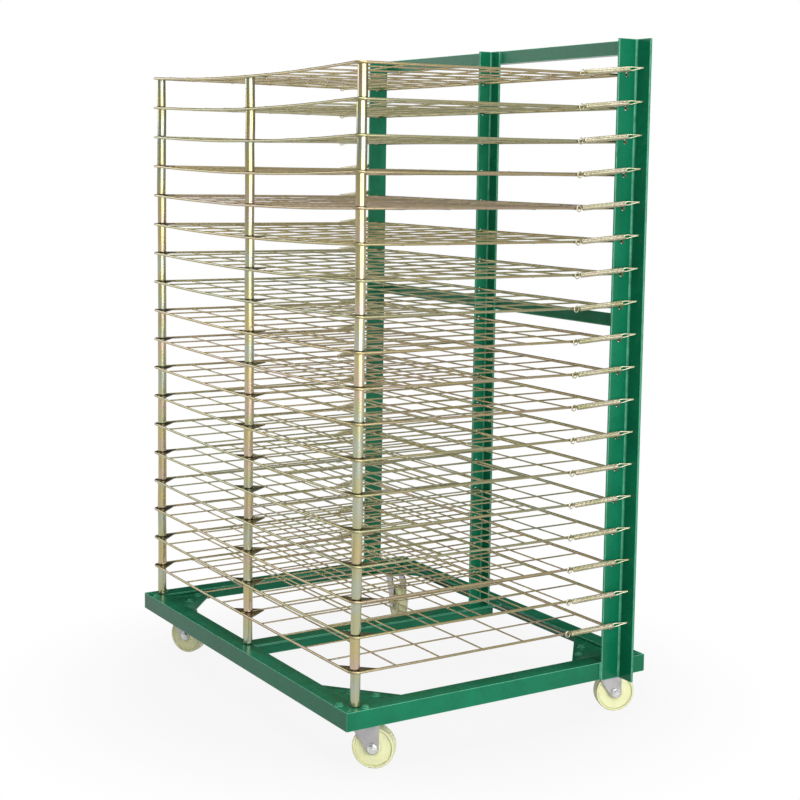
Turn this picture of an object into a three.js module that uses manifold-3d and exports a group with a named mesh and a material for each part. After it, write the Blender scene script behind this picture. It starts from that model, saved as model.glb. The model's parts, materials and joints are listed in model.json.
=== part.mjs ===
// Art drying rack: a stack of hinged wire trays on a wheeled angle-iron frame.
// Millimetres, +Z up. The origin is on the floor under the middle of the rack.
// The free front edges of the trays face -Y, the uprights and hinges are at +Y.
import * as THREE from 'three';
import { mergeVertices } from 'three/addons/utils/BufferGeometryUtils.js';
import Module from 'manifold-3d';

const wasm = await Module();
wasm.setup();

// Driving dimensions
const GAP = 0.3;
const TRAY_COUNT = 18;
const TRAY_PITCH = 60;
const BASE_WIDTH = 860;
const BASE_DEPTH = 653;
const BASE_TOP = 117;
const BEAM_TOP_LEG = 36;
const BEAM_SIDE_LEG = 33;
const BEAM_WALL = 4;
const COLUMN_X = 406;
const COLUMN_SETBACK = 30;
const TRAY_REACH = 536;
const FRAME_WIRE_OFFSET = 14;
const CELLS_ACROSS = 10;
const CELLS_DEEP = 6;
const UPRIGHT_LEG = 45;
const UPRIGHT_OUTER_LEG = 41;
const UPRIGHT_WALL = 4;
const UPRIGHT_TOP = 1266;
const HINGE_SETBACK = 20;
const MIDDLE_LEG = 32;
const RAIL_LEG = 25;
const RAIL_WALL = 3;
const TOP_RAIL_TOP = 1266;
const TIE_RAIL_TOP = 766;
const HINGE_HOLE_RADIUS = 4.5;
const TUBE_RADIUS = 9;
const TUBE_BORE_RADIUS = 7.4;
const TUBE_SIDES = 7;
const TUBE_DROP = 57.5;
const LOWEST_TUBE_DROP = 64.7;
const PLATE_TOP = 2.05;
const PLATE_THICKNESS = 3;
const WIRE_WIDTH = 3.6;
const WIRE_HEIGHT = 1.8;
const SPRING_CURLS = 3;
const SPRING_RADIUS = 4;
const SPRING_WIRE_RADIUS = 1;
const WHEEL_RADIUS = 37.5;
const WHEEL_HALF_WIDTH = 12;
const FRONT_CASTER_INSET = 52;
const BACK_CASTER_INSET = 60;
const CASTER_TRAIL = 30;

// Places worked out from the driving dimensions
const HALF_WIDTH = BASE_WIDTH / 2;
const HALF_DEPTH = BASE_DEPTH / 2;
const BASE_BOTTOM = BASE_TOP - BEAM_SIDE_LEG;
const COLUMN_Y = -HALF_DEPTH + COLUMN_SETBACK;
const HINGE_Y = COLUMN_Y + TRAY_REACH;
const TRAY_HALF_WIDTH = COLUMN_X + FRAME_WIRE_OFFSET;
const TRAY_DEPTH = TRAY_REACH + FRAME_WIRE_OFFSET;
const UPRIGHT_BACK = HINGE_Y + UPRIGHT_LEG - HINGE_SETBACK;
const UPRIGHT_INNER_X = HALF_WIDTH + GAP;
const RAIL_FRONT = UPRIGHT_BACK - RAIL_WALL;
const MIDDLE_BACK = RAIL_FRONT - GAP;
const MIDDLE_LEFT = -BEAM_TOP_LEG / 2;
const FIRST_LEVEL = BASE_TOP + GAP + LOWEST_TUBE_DROP;
const trayLevel = (index) => FIRST_LEVEL + index * TRAY_PITCH;

const green = { color: 0x1f7a52, roughness: 0.35, metalness: 0.1 };
const zinc = { color: 0xb9a878, roughness: 0.4, metalness: 0.8 };
const springSteel = { color: 0x9a9482, roughness: 0.35, metalness: 0.9 };
const pressedSteel = { color: 0xa9abb0, roughness: 0.4, metalness: 0.8 };
const creamNylon = { color: 0xe9e6b4, roughness: 0.5, metalness: 0 };

// Booleans
function solidOf(geometry) {
  const bare = geometry.clone();
  bare.deleteAttribute('normal');
  bare.deleteAttribute('uv');
  const merged = mergeVertices(bare, 1e-4);
  return new wasm.Manifold(new wasm.Mesh({
    numProp: 3,
    vertProperties: new Float32Array(merged.attributes.position.array),
    triVerts: new Uint32Array(merged.index.array),
  }));
}

function geometryOf(solid) {
  const mesh = solid.getMesh();
  const geometry = new THREE.BufferGeometry();
  geometry.setAttribute('position', new THREE.BufferAttribute(new Float32Array(mesh.vertProperties), 3));
  geometry.setIndex(new THREE.BufferAttribute(new Uint32Array(mesh.triVerts), 1));
  return geometry;
}

function join(geometries) {
  return geometryOf(geometries.map(solidOf).reduce((whole, next) => whole.add(next)));
}

function cut(geometry, tools) {
  return geometryOf(tools.map(solidOf).reduce((whole, tool) => whole.subtract(tool), solidOf(geometry)));
}

// Basic forms
function box(lowX, highX, lowY, highY, lowZ, highZ) {
  const geometry = new THREE.BoxGeometry(highX - lowX, highY - lowY, highZ - lowZ);
  return geometry.translate((lowX + highX) / 2, (lowY + highY) / 2, (lowZ + highZ) / 2);
}

function roundBar(radius, from, to, sides) {
  const axis = new THREE.Vector3().subVectors(to, from);
  const geometry = new THREE.CylinderGeometry(radius, radius, axis.length(), sides);
  const standing = new THREE.Vector3(0, 1, 0);
  geometry.applyQuaternion(new THREE.Quaternion().setFromUnitVectors(standing, axis.clone().normalize()));
  const middle = new THREE.Vector3().addVectors(from, to).multiplyScalar(0.5);
  return geometry.translate(middle.x, middle.y, middle.z);
}

function plate(shape, bottom, thickness) {
  const geometry = new THREE.ExtrudeGeometry(shape, { depth: thickness, bevelEnabled: false });
  return geometry.translate(0, 0, bottom);
}

// A swept bar with flat ends: the section, drawn anticlockwise, stands at each frame.
// Its side axis crossed with its up axis points along the bar.
function sweep(section, frames) {
  const positions = [];
  for (const frame of frames) {
    for (const [side, up] of section) {
      const corner = frame.point.clone().addScaledVector(frame.side, side).addScaledVector(frame.up, up);
      positions.push(corner.x, corner.y, corner.z);
    }
  }
  const count = section.length;
  const indices = [];
  for (let ring = 0; ring + 1 < frames.length; ring += 1) {
    for (let corner = 0; corner < count; corner += 1) {
      const a = ring * count + corner;
      const b = ring * count + ((corner + 1) % count);
      indices.push(a, b, b + count, a, b + count, a + count);
    }
  }
  const last = (frames.length - 1) * count;
  for (let corner = 1; corner + 1 < count; corner += 1) {
    indices.push(0, corner + 1, corner);
    indices.push(last, last + corner, last + corner + 1);
  }
  const geometry = new THREE.BufferGeometry();
  geometry.setAttribute('position', new THREE.Float32BufferAttribute(positions, 3));
  geometry.setIndex(indices);
  return geometry;
}

// Base frame: rolled unequal angle, mitred at the four corners
function beamSection() {
  const shape = new THREE.Shape();
  shape.moveTo(0, BASE_BOTTOM);
  shape.lineTo(BEAM_WALL, BASE_BOTTOM);
  shape.lineTo(BEAM_WALL, BASE_TOP - BEAM_WALL);
  shape.lineTo(BEAM_TOP_LEG, BASE_TOP - BEAM_WALL);
  shape.lineTo(BEAM_TOP_LEG, BASE_TOP);
  shape.lineTo(0, BASE_TOP);
  shape.closePath();
  return shape;
}

// A beam along its own x axis, outer face at y = 0, both ends cut back by the mitre.
function beam(length, mitre) {
  const geometry = new THREE.ExtrudeGeometry(beamSection(), { depth: length, bevelEnabled: false });
  const place = geometry.attributes.position;
  for (let i = 0; i < place.count; i += 1) {
    const inward = place.getX(i);
    const high = place.getY(i);
    const along = place.getZ(i) - length / 2;
    const setback = mitre ? inward + GAP / Math.SQRT2 : 0;
    place.setXYZ(i, along - Math.sign(along) * setback, inward, high);
  }
  return geometry;
}

function middleBeam() {
  return beam(BASE_DEPTH - 2 * (BEAM_TOP_LEG + GAP), false);
}

// Uprights: angle with a row of hinge holes in the leg that runs front to back
function angleShape(cornerX, backY, leg, outerLeg, wall, outward) {
  const shape = new THREE.Shape();
  shape.moveTo(cornerX, backY);
  shape.lineTo(cornerX, backY - leg);
  shape.lineTo(cornerX + outward * wall, backY - leg);
  shape.lineTo(cornerX + outward * wall, backY - wall);
  shape.lineTo(cornerX + outward * outerLeg, backY - wall);
  shape.lineTo(cornerX + outward * outerLeg, backY);
  shape.closePath();
  return shape;
}

function upright(cornerX, backY, leg, outerLeg, outward, foot) {
  const profile = angleShape(cornerX, backY, leg, outerLeg, UPRIGHT_WALL, outward);
  const bar = plate(profile, foot, UPRIGHT_TOP - foot);
  const reach = outward * UPRIGHT_WALL * 2;
  const holes = [];
  for (let index = 0; index < TRAY_COUNT; index += 1) {
    const from = new THREE.Vector3(cornerX - outward * UPRIGHT_WALL, HINGE_Y, trayLevel(index));
    const to = new THREE.Vector3(cornerX + reach, HINGE_Y, trayLevel(index));
    holes.push(roundBar(HINGE_HOLE_RADIUS, from, to, 6));
  }
  return cut(bar, holes);
}

// Rails: small angle, standing leg to the front, flat leg at the bottom to the back
function rail(top) {
  const bottom = top - RAIL_LEG;
  const length = BASE_WIDTH;
  const shape = new THREE.Shape();
  shape.moveTo(RAIL_FRONT, bottom);
  shape.lineTo(RAIL_FRONT + RAIL_LEG, bottom);
  shape.lineTo(RAIL_FRONT + RAIL_LEG, bottom + RAIL_WALL);
  shape.lineTo(RAIL_FRONT + RAIL_WALL, bottom + RAIL_WALL);
  shape.lineTo(RAIL_FRONT + RAIL_WALL, top);
  shape.lineTo(RAIL_FRONT, top);
  shape.closePath();
  const geometry = new THREE.ExtrudeGeometry(shape, { depth: length, bevelEnabled: false });
  const axes = new THREE.Matrix4().makeBasis(
    new THREE.Vector3(0, 1, 0), new THREE.Vector3(0, 0, 1), new THREE.Vector3(1, 0, 0));
  return geometry.applyMatrix4(axes).translate(-length / 2, 0, 0);
}

// Tray, drawn about its hinge: y = 0 on the hinge axis, z = 0 at the level of the frame wire
// The sections are flat on the side that the mesh wires butt against.
const FRAME_WIRE = [[-2.3, -2.1], [0.9, -2.2], [2.5, 0], [0.9, 2.2], [-2.3, 2.1]];
const HINGE_ROD = [[-2.3, -2.4], [0.9, -3.1], [3.2, 0], [0.9, 3.1], [-2.3, 2.4]];
const ROD_OVERHANG = 17;
const WIRE_CLEARANCE = 0.15;
const CORNER_STEPS = 2;

// One bent wire: right side, front and left side, with a bend round each corner tube
function frameWire() {
  const up = new THREE.Vector3(0, 0, 1);
  const frames = [];
  const station = (x, y, side) => frames.push({ point: new THREE.Vector3(x, y, 0), side, up });
  station(TRAY_HALF_WIDTH, 0, new THREE.Vector3(1, 0, 0));
  for (const [centreX, startAngle] of [[COLUMN_X, 0], [-COLUMN_X, -Math.PI / 2]]) {
    for (let step = 0; step <= CORNER_STEPS; step += 1) {
      const angle = startAngle - (step / CORNER_STEPS) * (Math.PI / 2);
      const side = new THREE.Vector3(Math.cos(angle), Math.sin(angle), 0);
      station(centreX + FRAME_WIRE_OFFSET * side.x, -TRAY_REACH + FRAME_WIRE_OFFSET * side.y, side);
    }
  }
  station(-TRAY_HALF_WIDTH, 0, new THREE.Vector3(-1, 0, 0));
  return sweep(FRAME_WIRE, frames);
}

function hingeRod() {
  const side = new THREE.Vector3(0, 1, 0);
  const up = new THREE.Vector3(0, 0, 1);
  const end = TRAY_HALF_WIDTH + ROD_OVERHANG;
  const frames = [-end, end].map((x) => ({ point: new THREE.Vector3(x, 0, 0), side, up }));
  return sweep(HINGE_ROD, frames);
}

// Long wires lie over the cross wires; all of them end inside the frame wire and the rod.
function meshWires() {
  const half = WIRE_WIDTH / 2;
  const near = WIRE_CLEARANCE;
  const far = WIRE_CLEARANCE + WIRE_HEIGHT;
  const up = new THREE.Vector3(0, 0, 1);
  const wires = [];
  for (let column = 1; column < CELLS_ACROSS; column += 1) {
    const x = -TRAY_HALF_WIDTH + column * (2 * TRAY_HALF_WIDTH / CELLS_ACROSS);
    const ends = [0, -TRAY_DEPTH].map((y) => new THREE.Vector3(x, y, 0));
    const frames = ends.map((point) => ({ point, side: new THREE.Vector3(1, 0, 0), up }));
    wires.push(sweep([[0, near], [half, far], [-half, far]], frames));
  }
  for (let row = 1; row < CELLS_DEEP; row += 1) {
    const y = -row * (TRAY_DEPTH / CELLS_DEEP);
    const ends = [-TRAY_HALF_WIDTH, TRAY_HALF_WIDTH].map((x) => new THREE.Vector3(x, y, 0));
    const frames = ends.map((point) => ({ point, side: new THREE.Vector3(0, 1, 0), up }));
    wires.push(sweep([[-half, -far], [half, -far], [0, -near]], frames));
  }
  return wires;
}

// Triangular plates that tie each spacer tube to the frame wire
const PLATE_LEG = 50;
const MIDDLE_PLATE_HALF = 38;
const MIDDLE_PLATE_REACH = 48;

function cornerPlate(side) {
  const shape = new THREE.Shape();
  const outer = side * TRAY_HALF_WIDTH;
  shape.moveTo(outer - side * PLATE_LEG, -TRAY_DEPTH);
  shape.lineTo(side * COLUMN_X, -TRAY_DEPTH);
  shape.lineTo(outer, -TRAY_REACH);
  shape.lineTo(outer, -TRAY_DEPTH + PLATE_LEG);
  shape.closePath();
  return plate(shape, PLATE_TOP - PLATE_THICKNESS, PLATE_THICKNESS);
}

function middlePlate() {
  const shape = new THREE.Shape();
  shape.moveTo(-MIDDLE_PLATE_HALF, -TRAY_DEPTH);
  shape.lineTo(MIDDLE_PLATE_HALF, -TRAY_DEPTH);
  shape.lineTo(0, -TRAY_DEPTH + MIDDLE_PLATE_REACH);
  shape.closePath();
  return plate(shape, PLATE_TOP - PLATE_THICKNESS, PLATE_THICKNESS);
}

// Spacer tube, open at the bottom, welded under its plate
const TUBE_CAP = 3;
const OVERCUT = 1;

function spacerTube(x, drop) {
  const bottom = new THREE.Vector3(x, -TRAY_REACH, -drop);
  const top = new THREE.Vector3(x, -TRAY_REACH, PLATE_TOP - PLATE_THICKNESS / 2);
  return roundBar(TUBE_RADIUS, bottom, top, TUBE_SIDES);
}

function spacerBore(x, drop) {
  const bottom = new THREE.Vector3(x, -TRAY_REACH, -drop - OVERCUT);
  const top = new THREE.Vector3(x, -TRAY_REACH, PLATE_TOP - PLATE_THICKNESS - TUBE_CAP);
  return roundBar(TUBE_BORE_RADIUS, bottom, top, TUBE_SIDES);
}

function tray(drop) {
  const columns = [-COLUMN_X, 0, COLUMN_X];
  const plates = [cornerPlate(1), middlePlate(), cornerPlate(-1)];
  const tubes = columns.map((x) => spacerTube(x, drop));
  const body = join([frameWire(), hingeRod(), ...meshWires(), ...plates, ...tubes]);
  return cut(body, columns.map((x) => spacerBore(x, drop)));
}

// Tension spring at the right side, from the frame wire to the outward leg of the upright
const FRAME_WIRE_REACH = 2.5;
const SPRING_FRONT = new THREE.Vector3(TRAY_HALF_WIDTH + FRAME_WIRE_REACH + GAP, -TRAY_DEPTH / CELLS_DEEP, 0);
const COIL_START = new THREE.Vector3(431, -83, 1);
const COIL_END = new THREE.Vector3(455, -12, 11);
const SPRING_BACK = new THREE.Vector3(458.5, UPRIGHT_BACK - HINGE_Y - UPRIGHT_WALL - GAP, 12);
const FRONT_STUB = new THREE.Vector3(2.2, 0, 0);
const BACK_STUB = new THREE.Vector3(0, -16, 0);
const STEPS_PER_CURL = 8;
const SPRING_SIDES = 5;

function springPath() {
  const axis = new THREE.Vector3().subVectors(COIL_END, COIL_START);
  const forward = axis.clone().normalize();
  const across = new THREE.Vector3().crossVectors(forward, new THREE.Vector3(0, 0, 1)).normalize();
  const above = new THREE.Vector3().crossVectors(across, forward);
  const points = [SPRING_FRONT.clone(), SPRING_FRONT.clone().add(FRONT_STUB)];
  const steps = SPRING_CURLS * STEPS_PER_CURL;
  for (let step = 0; step <= steps; step += 1) {
    const angle = (step / STEPS_PER_CURL) * 2 * Math.PI - Math.PI / 2;
    const point = COIL_START.clone().addScaledVector(axis, step / steps);
    point.addScaledVector(across, -SPRING_RADIUS * Math.cos(angle));
    points.push(point.addScaledVector(above, SPRING_RADIUS * Math.sin(angle)));
  }
  points.push(SPRING_BACK.clone().add(BACK_STUB), SPRING_BACK.clone());
  return points;
}

// Frames that turn as little as they can along a path of points
function pathFrames(points) {
  const frames = [];
  let side = new THREE.Vector3(0, 0, 1);
  points.forEach((point, i) => {
    const before = points[Math.max(i - 1, 0)];
    const after = points[Math.min(i + 1, points.length - 1)];
    const along = new THREE.Vector3().subVectors(after, before).normalize();
    side = side.clone().addScaledVector(along, -side.dot(along)).normalize();
    frames.push({ point, side, up: new THREE.Vector3().crossVectors(along, side) });
  });
  return frames;
}

// Least clear distance between stretches of the spring that are not neighbours
function leastGap(points, diameter) {
  let least = Infinity;
  for (let i = 0; i < points.length; i += 1) {
    for (let j = i + STEPS_PER_CURL / 2; j < points.length; j += 1) {
      least = Math.min(least, points[i].distanceTo(points[j]) - diameter);
    }
  }
  return least;
}

function spring() {
  const points = springPath();
  console.log('least gap of a spring to itself, mm:', leastGap(points, 2 * SPRING_WIRE_RADIUS).toFixed(2));
  const section = [];
  for (let corner = 0; corner < SPRING_SIDES; corner += 1) {
    const angle = (corner / SPRING_SIDES) * 2 * Math.PI;
    section.push([SPRING_WIRE_RADIUS * Math.cos(angle), SPRING_WIRE_RADIUS * Math.sin(angle)]);
  }
  return sweep(section, pathFrames(points));
}

// Casters, drawn about the swivel axis with the wheel trailing along +x and the axle along y
const CORNER_PLATE_TOP = BASE_TOP - BEAM_WALL - GAP;
const CORNER_PLATE_THICKNESS = 4;
const CORNER_PLATE_LONG = 165;
const CORNER_PLATE_SHORT = 143;
const CORNER_PLATE_LAND = 30;
const TOP_PLATE_HALF = 32;
const TOP_PLATE_THICKNESS = 3;
const WELD_OVERLAP = 0.5;
const RACE_RADIUS = 24;
const RACE_BOTTOM = 100.3;
const FORK_TOP = RACE_BOTTOM - GAP;
const FORK_WALL = 2.5;
const CHEEK_INNER = 13.6;
const CHEEK_HALF = 19;
const CHEEK_SHOULDER = 8;
const CHEEK_NOSE_RADIUS = 11;
const CHEEK_NOSE_START = -0.8 * Math.PI;
const CHEEK_RELIEF = 10;
const KINGPIN_RADIUS = 6;
const KINGPIN_CLEARANCE = 1;
const KINGPIN_HEAD_RADIUS = 10;
const KINGPIN_HEAD_HEIGHT = 3;
const AXLE_RADIUS = 5;
const NUT_RADIUS = 8.5;
const NUT_HEIGHT = 5;
const HUB_RADIUS = 12;
const HUB_HALF_WIDTH = 13;
const HUB_BORE_RADIUS = 5.6;
const TREAD_CHAMFER = 3;
const CASTER_SIDES = 10;
const HEX_SIDES = 6;
const WHEEL_SEGMENTS = 16;

// Corner plate with the caster's own top plate, ball race and kingpin below it
function cornerMount(signX, signY, inset) {
  const bottom = CORNER_PLATE_TOP - CORNER_PLATE_THICKNESS;
  const edge = inset - BEAM_WALL - GAP;
  const far = edge - CORNER_PLATE_LONG;
  const deep = edge - CORNER_PLATE_SHORT;
  const land = edge - CORNER_PLATE_LAND;
  const shape = new THREE.Shape();
  shape.moveTo(signX * edge, signY * edge);
  shape.lineTo(signX * far, signY * edge);
  shape.lineTo(signX * far, signY * land);
  shape.lineTo(signX * land, signY * deep);
  shape.lineTo(signX * edge, signY * deep);
  shape.closePath();
  const half = TOP_PLATE_HALF;
  const low = bottom - TOP_PLATE_THICKNESS;
  const headTop = FORK_TOP - FORK_WALL - GAP;
  const headBottom = headTop - KINGPIN_HEAD_HEIGHT;
  const round = (radius, from, to, sides) =>
    roundBar(radius, new THREE.Vector3(0, 0, from), new THREE.Vector3(0, 0, to), sides);
  return join([
    plate(shape, bottom, CORNER_PLATE_THICKNESS),
    box(-half, half, -half, half, low, bottom + WELD_OVERLAP),
    round(RACE_RADIUS, RACE_BOTTOM, low + WELD_OVERLAP, CASTER_SIDES),
    round(KINGPIN_RADIUS, headBottom + WELD_OVERLAP, low + WELD_OVERLAP, HEX_SIDES),
    round(KINGPIN_HEAD_RADIUS, headBottom, headTop, HEX_SIDES),
  ]);
}

function cheek(side) {
  const shape = new THREE.Shape();
  shape.moveTo(-CHEEK_HALF, FORK_TOP);
  shape.lineTo(-CHEEK_HALF, FORK_TOP - CHEEK_SHOULDER);
  shape.absarc(CASTER_TRAIL, WHEEL_RADIUS, CHEEK_NOSE_RADIUS, CHEEK_NOSE_START, 0, false);
  shape.lineTo(CASTER_TRAIL + CHEEK_NOSE_RADIUS, FORK_TOP - CHEEK_RELIEF);
  shape.lineTo(CHEEK_HALF, FORK_TOP);
  shape.closePath();
  const options = { depth: FORK_WALL, bevelEnabled: false, curveSegments: 3 };
  const geometry = new THREE.ExtrudeGeometry(shape, options);
  geometry.rotateX(Math.PI / 2);
  const near = side > 0 ? CHEEK_INNER + FORK_WALL : -CHEEK_INNER;
  return geometry.translate(0, near, 0);
}

function fork() {
  const onAxle = (across) => new THREE.Vector3(CASTER_TRAIL, across, WHEEL_RADIUS);
  const inCheek = CHEEK_INNER + WELD_OVERLAP;
  const nutEnd = CHEEK_INNER + FORK_WALL + NUT_HEIGHT;
  const axle = roundBar(AXLE_RADIUS, onAxle(-inCheek), onAxle(inCheek), HEX_SIDES);
  const nut = (side) => roundBar(NUT_RADIUS, onAxle(side * inCheek), onAxle(side * nutEnd), HEX_SIDES);
  const crownBottom = FORK_TOP - FORK_WALL;
  const crown = roundBar(RACE_RADIUS,
    new THREE.Vector3(0, 0, crownBottom), new THREE.Vector3(0, 0, FORK_TOP), CASTER_SIDES);
  const hole = roundBar(KINGPIN_RADIUS + KINGPIN_CLEARANCE,
    new THREE.Vector3(0, 0, crownBottom - OVERCUT), new THREE.Vector3(0, 0, FORK_TOP + OVERCUT), HEX_SIDES);
  return cut(join([crown, cheek(1), cheek(-1), axle, nut(1), nut(-1)]), [hole]);
}

// The rim is a little over size at its corners so that its flats stand on the floor.
function wheel() {
  const rim = WHEEL_RADIUS / Math.cos(Math.PI / WHEEL_SEGMENTS);
  const half = [
    [HUB_BORE_RADIUS, HUB_HALF_WIDTH],
    [HUB_RADIUS, HUB_HALF_WIDTH],
    [rim - TREAD_CHAMFER, WHEEL_HALF_WIDTH],
    [rim, WHEEL_HALF_WIDTH - TREAD_CHAMFER],
  ];
  const points = half.map(([radius, width]) => new THREE.Vector2(radius, -width));
  points.push(...half.map(([radius, width]) => new THREE.Vector2(radius, width)).reverse());
  points.push(points[0].clone());
  const geometry = new THREE.LatheGeometry(points, WHEEL_SEGMENTS, Math.PI / WHEEL_SEGMENTS);
  geometry.deleteAttribute('normal');
  geometry.deleteAttribute('uv');
  return mergeVertices(geometry, 1e-4);
}

// Assembly
const rack = new THREE.Group();

function place(parent, name, geometry, look) {
  const mesh = new THREE.Mesh(geometry, new THREE.MeshStandardMaterial(look));
  mesh.name = name;
  parent.add(mesh);
  return mesh;
}

place(rack, 'base_front_beam', beam(BASE_WIDTH, true), green).position.y = -HALF_DEPTH;

const backBeam = place(rack, 'base_back_beam', beam(BASE_WIDTH, true), green);
backBeam.position.y = HALF_DEPTH;
backBeam.rotation.z = Math.PI;

const rightBeam = place(rack, 'base_right_beam', beam(BASE_DEPTH, true), green);
rightBeam.position.x = HALF_WIDTH;
rightBeam.rotation.z = Math.PI / 2;

const leftBeam = place(rack, 'base_left_beam', beam(BASE_DEPTH, true), green);
leftBeam.position.x = -HALF_WIDTH;
leftBeam.rotation.z = -Math.PI / 2;

const centreBeam = place(rack, 'base_middle_beam', middleBeam(), green);
centreBeam.position.x = -BEAM_TOP_LEG / 2;
centreBeam.rotation.z = -Math.PI / 2;

for (const [name, outward] of [['upright_right', 1], ['upright_left', -1]]) {
  const cornerX = outward * UPRIGHT_INNER_X;
  const post = upright(cornerX, UPRIGHT_BACK, UPRIGHT_LEG, UPRIGHT_OUTER_LEG, outward, BASE_BOTTOM);
  place(rack, name, post, green);
}
const middlePost = upright(MIDDLE_LEFT, MIDDLE_BACK, MIDDLE_LEG, MIDDLE_LEG, 1, BASE_TOP + GAP);
place(rack, 'upright_middle', middlePost, green);
place(rack, 'top_rail', rail(TOP_RAIL_TOP), green);
place(rack, 'tie_rail', rail(TIE_RAIL_TOP), green);

// Where each wheel trails, as a turn about +Z from +X
const casters = [
  { corner: 'front_right', signX: 1, signY: -1, turn: 47 },
  { corner: 'back_right', signX: 1, signY: 1, turn: 66 },
  { corner: 'front_left', signX: -1, signY: -1, turn: 32 },
  { corner: 'back_left', signX: -1, signY: 1, turn: -16 },
];
const forkGeometry = fork();
const wheelGeometry = wheel();

for (const { corner, signX, signY, turn } of casters) {
  const inset = signY > 0 ? BACK_CASTER_INSET : FRONT_CASTER_INSET;
  const mount = new THREE.Group();
  mount.position.set(signX * (HALF_WIDTH - inset), signY * (HALF_DEPTH - inset), 0);
  rack.add(mount);
  place(mount, `corner_plate_${corner}`, cornerMount(signX, signY, inset), green);
  const swivel = new THREE.Group();
  swivel.rotation.z = THREE.MathUtils.degToRad(turn);
  mount.add(swivel);
  place(swivel, `caster_fork_${corner}`, forkGeometry, pressedSteel);
  const roller = place(swivel, `caster_wheel_${corner}`, wheelGeometry, creamNylon);
  roller.position.set(CASTER_TRAIL, 0, WHEEL_RADIUS);
}

const lowestTray = tray(LOWEST_TUBE_DROP);
const upperTray = tray(TUBE_DROP);
const springGeometry = spring();

for (let index = 0; index < TRAY_COUNT; index += 1) {
  const level = new THREE.Group();
  level.position.set(0, HINGE_Y, trayLevel(index));
  rack.add(level);
  const number = String(index + 1).padStart(2, '0');
  place(level, `tray_${number}`, index === 0 ? lowestTray : upperTray, zinc);
  place(level, `spring_right_${number}`, springGeometry, springSteel);
}

export default rack;
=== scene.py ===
import json
import math
import random

import bmesh
import bpy
from bpy.props import FloatProperty, FloatVectorProperty, IntProperty, PointerProperty
from mathutils import Matrix, Vector


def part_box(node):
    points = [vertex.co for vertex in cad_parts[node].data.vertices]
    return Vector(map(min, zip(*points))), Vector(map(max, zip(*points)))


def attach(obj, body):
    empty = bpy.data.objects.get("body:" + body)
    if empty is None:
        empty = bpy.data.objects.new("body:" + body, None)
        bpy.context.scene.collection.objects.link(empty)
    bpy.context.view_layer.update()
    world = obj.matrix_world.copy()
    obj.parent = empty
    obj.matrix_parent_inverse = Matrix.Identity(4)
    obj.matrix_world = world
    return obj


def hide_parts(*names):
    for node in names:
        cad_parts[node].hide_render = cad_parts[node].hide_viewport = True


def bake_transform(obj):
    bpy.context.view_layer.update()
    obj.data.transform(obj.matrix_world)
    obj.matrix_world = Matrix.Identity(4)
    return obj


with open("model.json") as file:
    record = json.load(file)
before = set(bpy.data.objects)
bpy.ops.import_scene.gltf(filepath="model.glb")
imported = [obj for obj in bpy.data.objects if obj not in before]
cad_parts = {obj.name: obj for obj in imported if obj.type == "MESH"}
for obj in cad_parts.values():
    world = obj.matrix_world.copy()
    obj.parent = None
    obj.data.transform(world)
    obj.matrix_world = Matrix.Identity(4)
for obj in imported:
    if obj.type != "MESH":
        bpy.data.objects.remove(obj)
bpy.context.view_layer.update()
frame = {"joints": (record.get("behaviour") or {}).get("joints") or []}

bl_info = {
    "name": "Art drying rack",
    "version": (1, 0, 0),
    "blender": (4, 5, 0),
    "location": "3D View > Sidebar > Drying rack",
    "description": "Builds the finished drying rack over its solid model",
    "category": "Add Mesh",
}

# The solid model, in metres: +Z up, the trays' free edges to -Y, the uprights to +Y
LIFTS = [joint for joint in frame["joints"] if joint["name"].startswith("lift_")]
NUMBERS = [joint["name"][5:] for joint in LIFTS]
LEVELS = [joint["pos_m"][2] for joint in LIFTS]
HINGE_Y = LIFTS[0]["pos_m"][1]
PIVOTS = {joint["name"]: Vector(joint["pos_m"]) for joint in frame["joints"]}
CORNERS = {"front_right": (1, -1), "back_right": (1, 1), "front_left": (-1, -1), "back_left": (-1, 1)}
BASE_BEAMS = ("base_front_beam", "base_back_beam", "base_right_beam", "base_left_beam")
BASE_LOW = Vector(min(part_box(beam)[0][i] for beam in BASE_BEAMS) for i in range(3))
BASE_HIGH = Vector(max(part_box(beam)[1][i] for beam in BASE_BEAMS) for i in range(3))
MILLIMETRE = 0.001

# Half the spacing of a caster plate's bolts, along and across the corner's diagonal
BOLT_SPAN, BOLT_SPREAD = 0.038, 0.023

# Radius of the hinge holes, width of a corner plate's square ends and half the width of a caster's top plate
HOLE_RADIUS, PLATE_LAND, PAD_HALF = 0.0045, 0.030, 0.031

# Half the length of a caster's axle, and sides of a spacer tube
AXLE_END, TUBE_SIDES = 0.0232, 28

# Where a spring's loop enters the upright, where its coil starts, and how much of it is loop
SPRING_HOLE_X, SPRING_START_X, SPRING_LOOP = 0.4545, 0.4288, 0.0285

# The photo's camera: picture size, focal length and centre in pixels, turn in degrees, place in metres
PICTURE_SIZE, FOCAL_PIXELS, CENTRE_ACROSS, CENTRE_DOWN = 800, 1569.68, 412, 330
CAMERA_TURN, CAMERA_TILT, CAMERA_ROLL = 32.5712, 6.0064, -0.8747
CAMERA_PLACE = (2.63498, -1.6169, 1.03496)
SENSOR_WIDTH = 36


def length(label, text, default):
    return FloatProperty(name=label, description=text, default=default, unit="LENGTH", precision=5)


def colour(label, text, default):
    return FloatVectorProperty(name=label, description=text, default=default, subtype="COLOR", size=3,
                               min=0, max=1)


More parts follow.
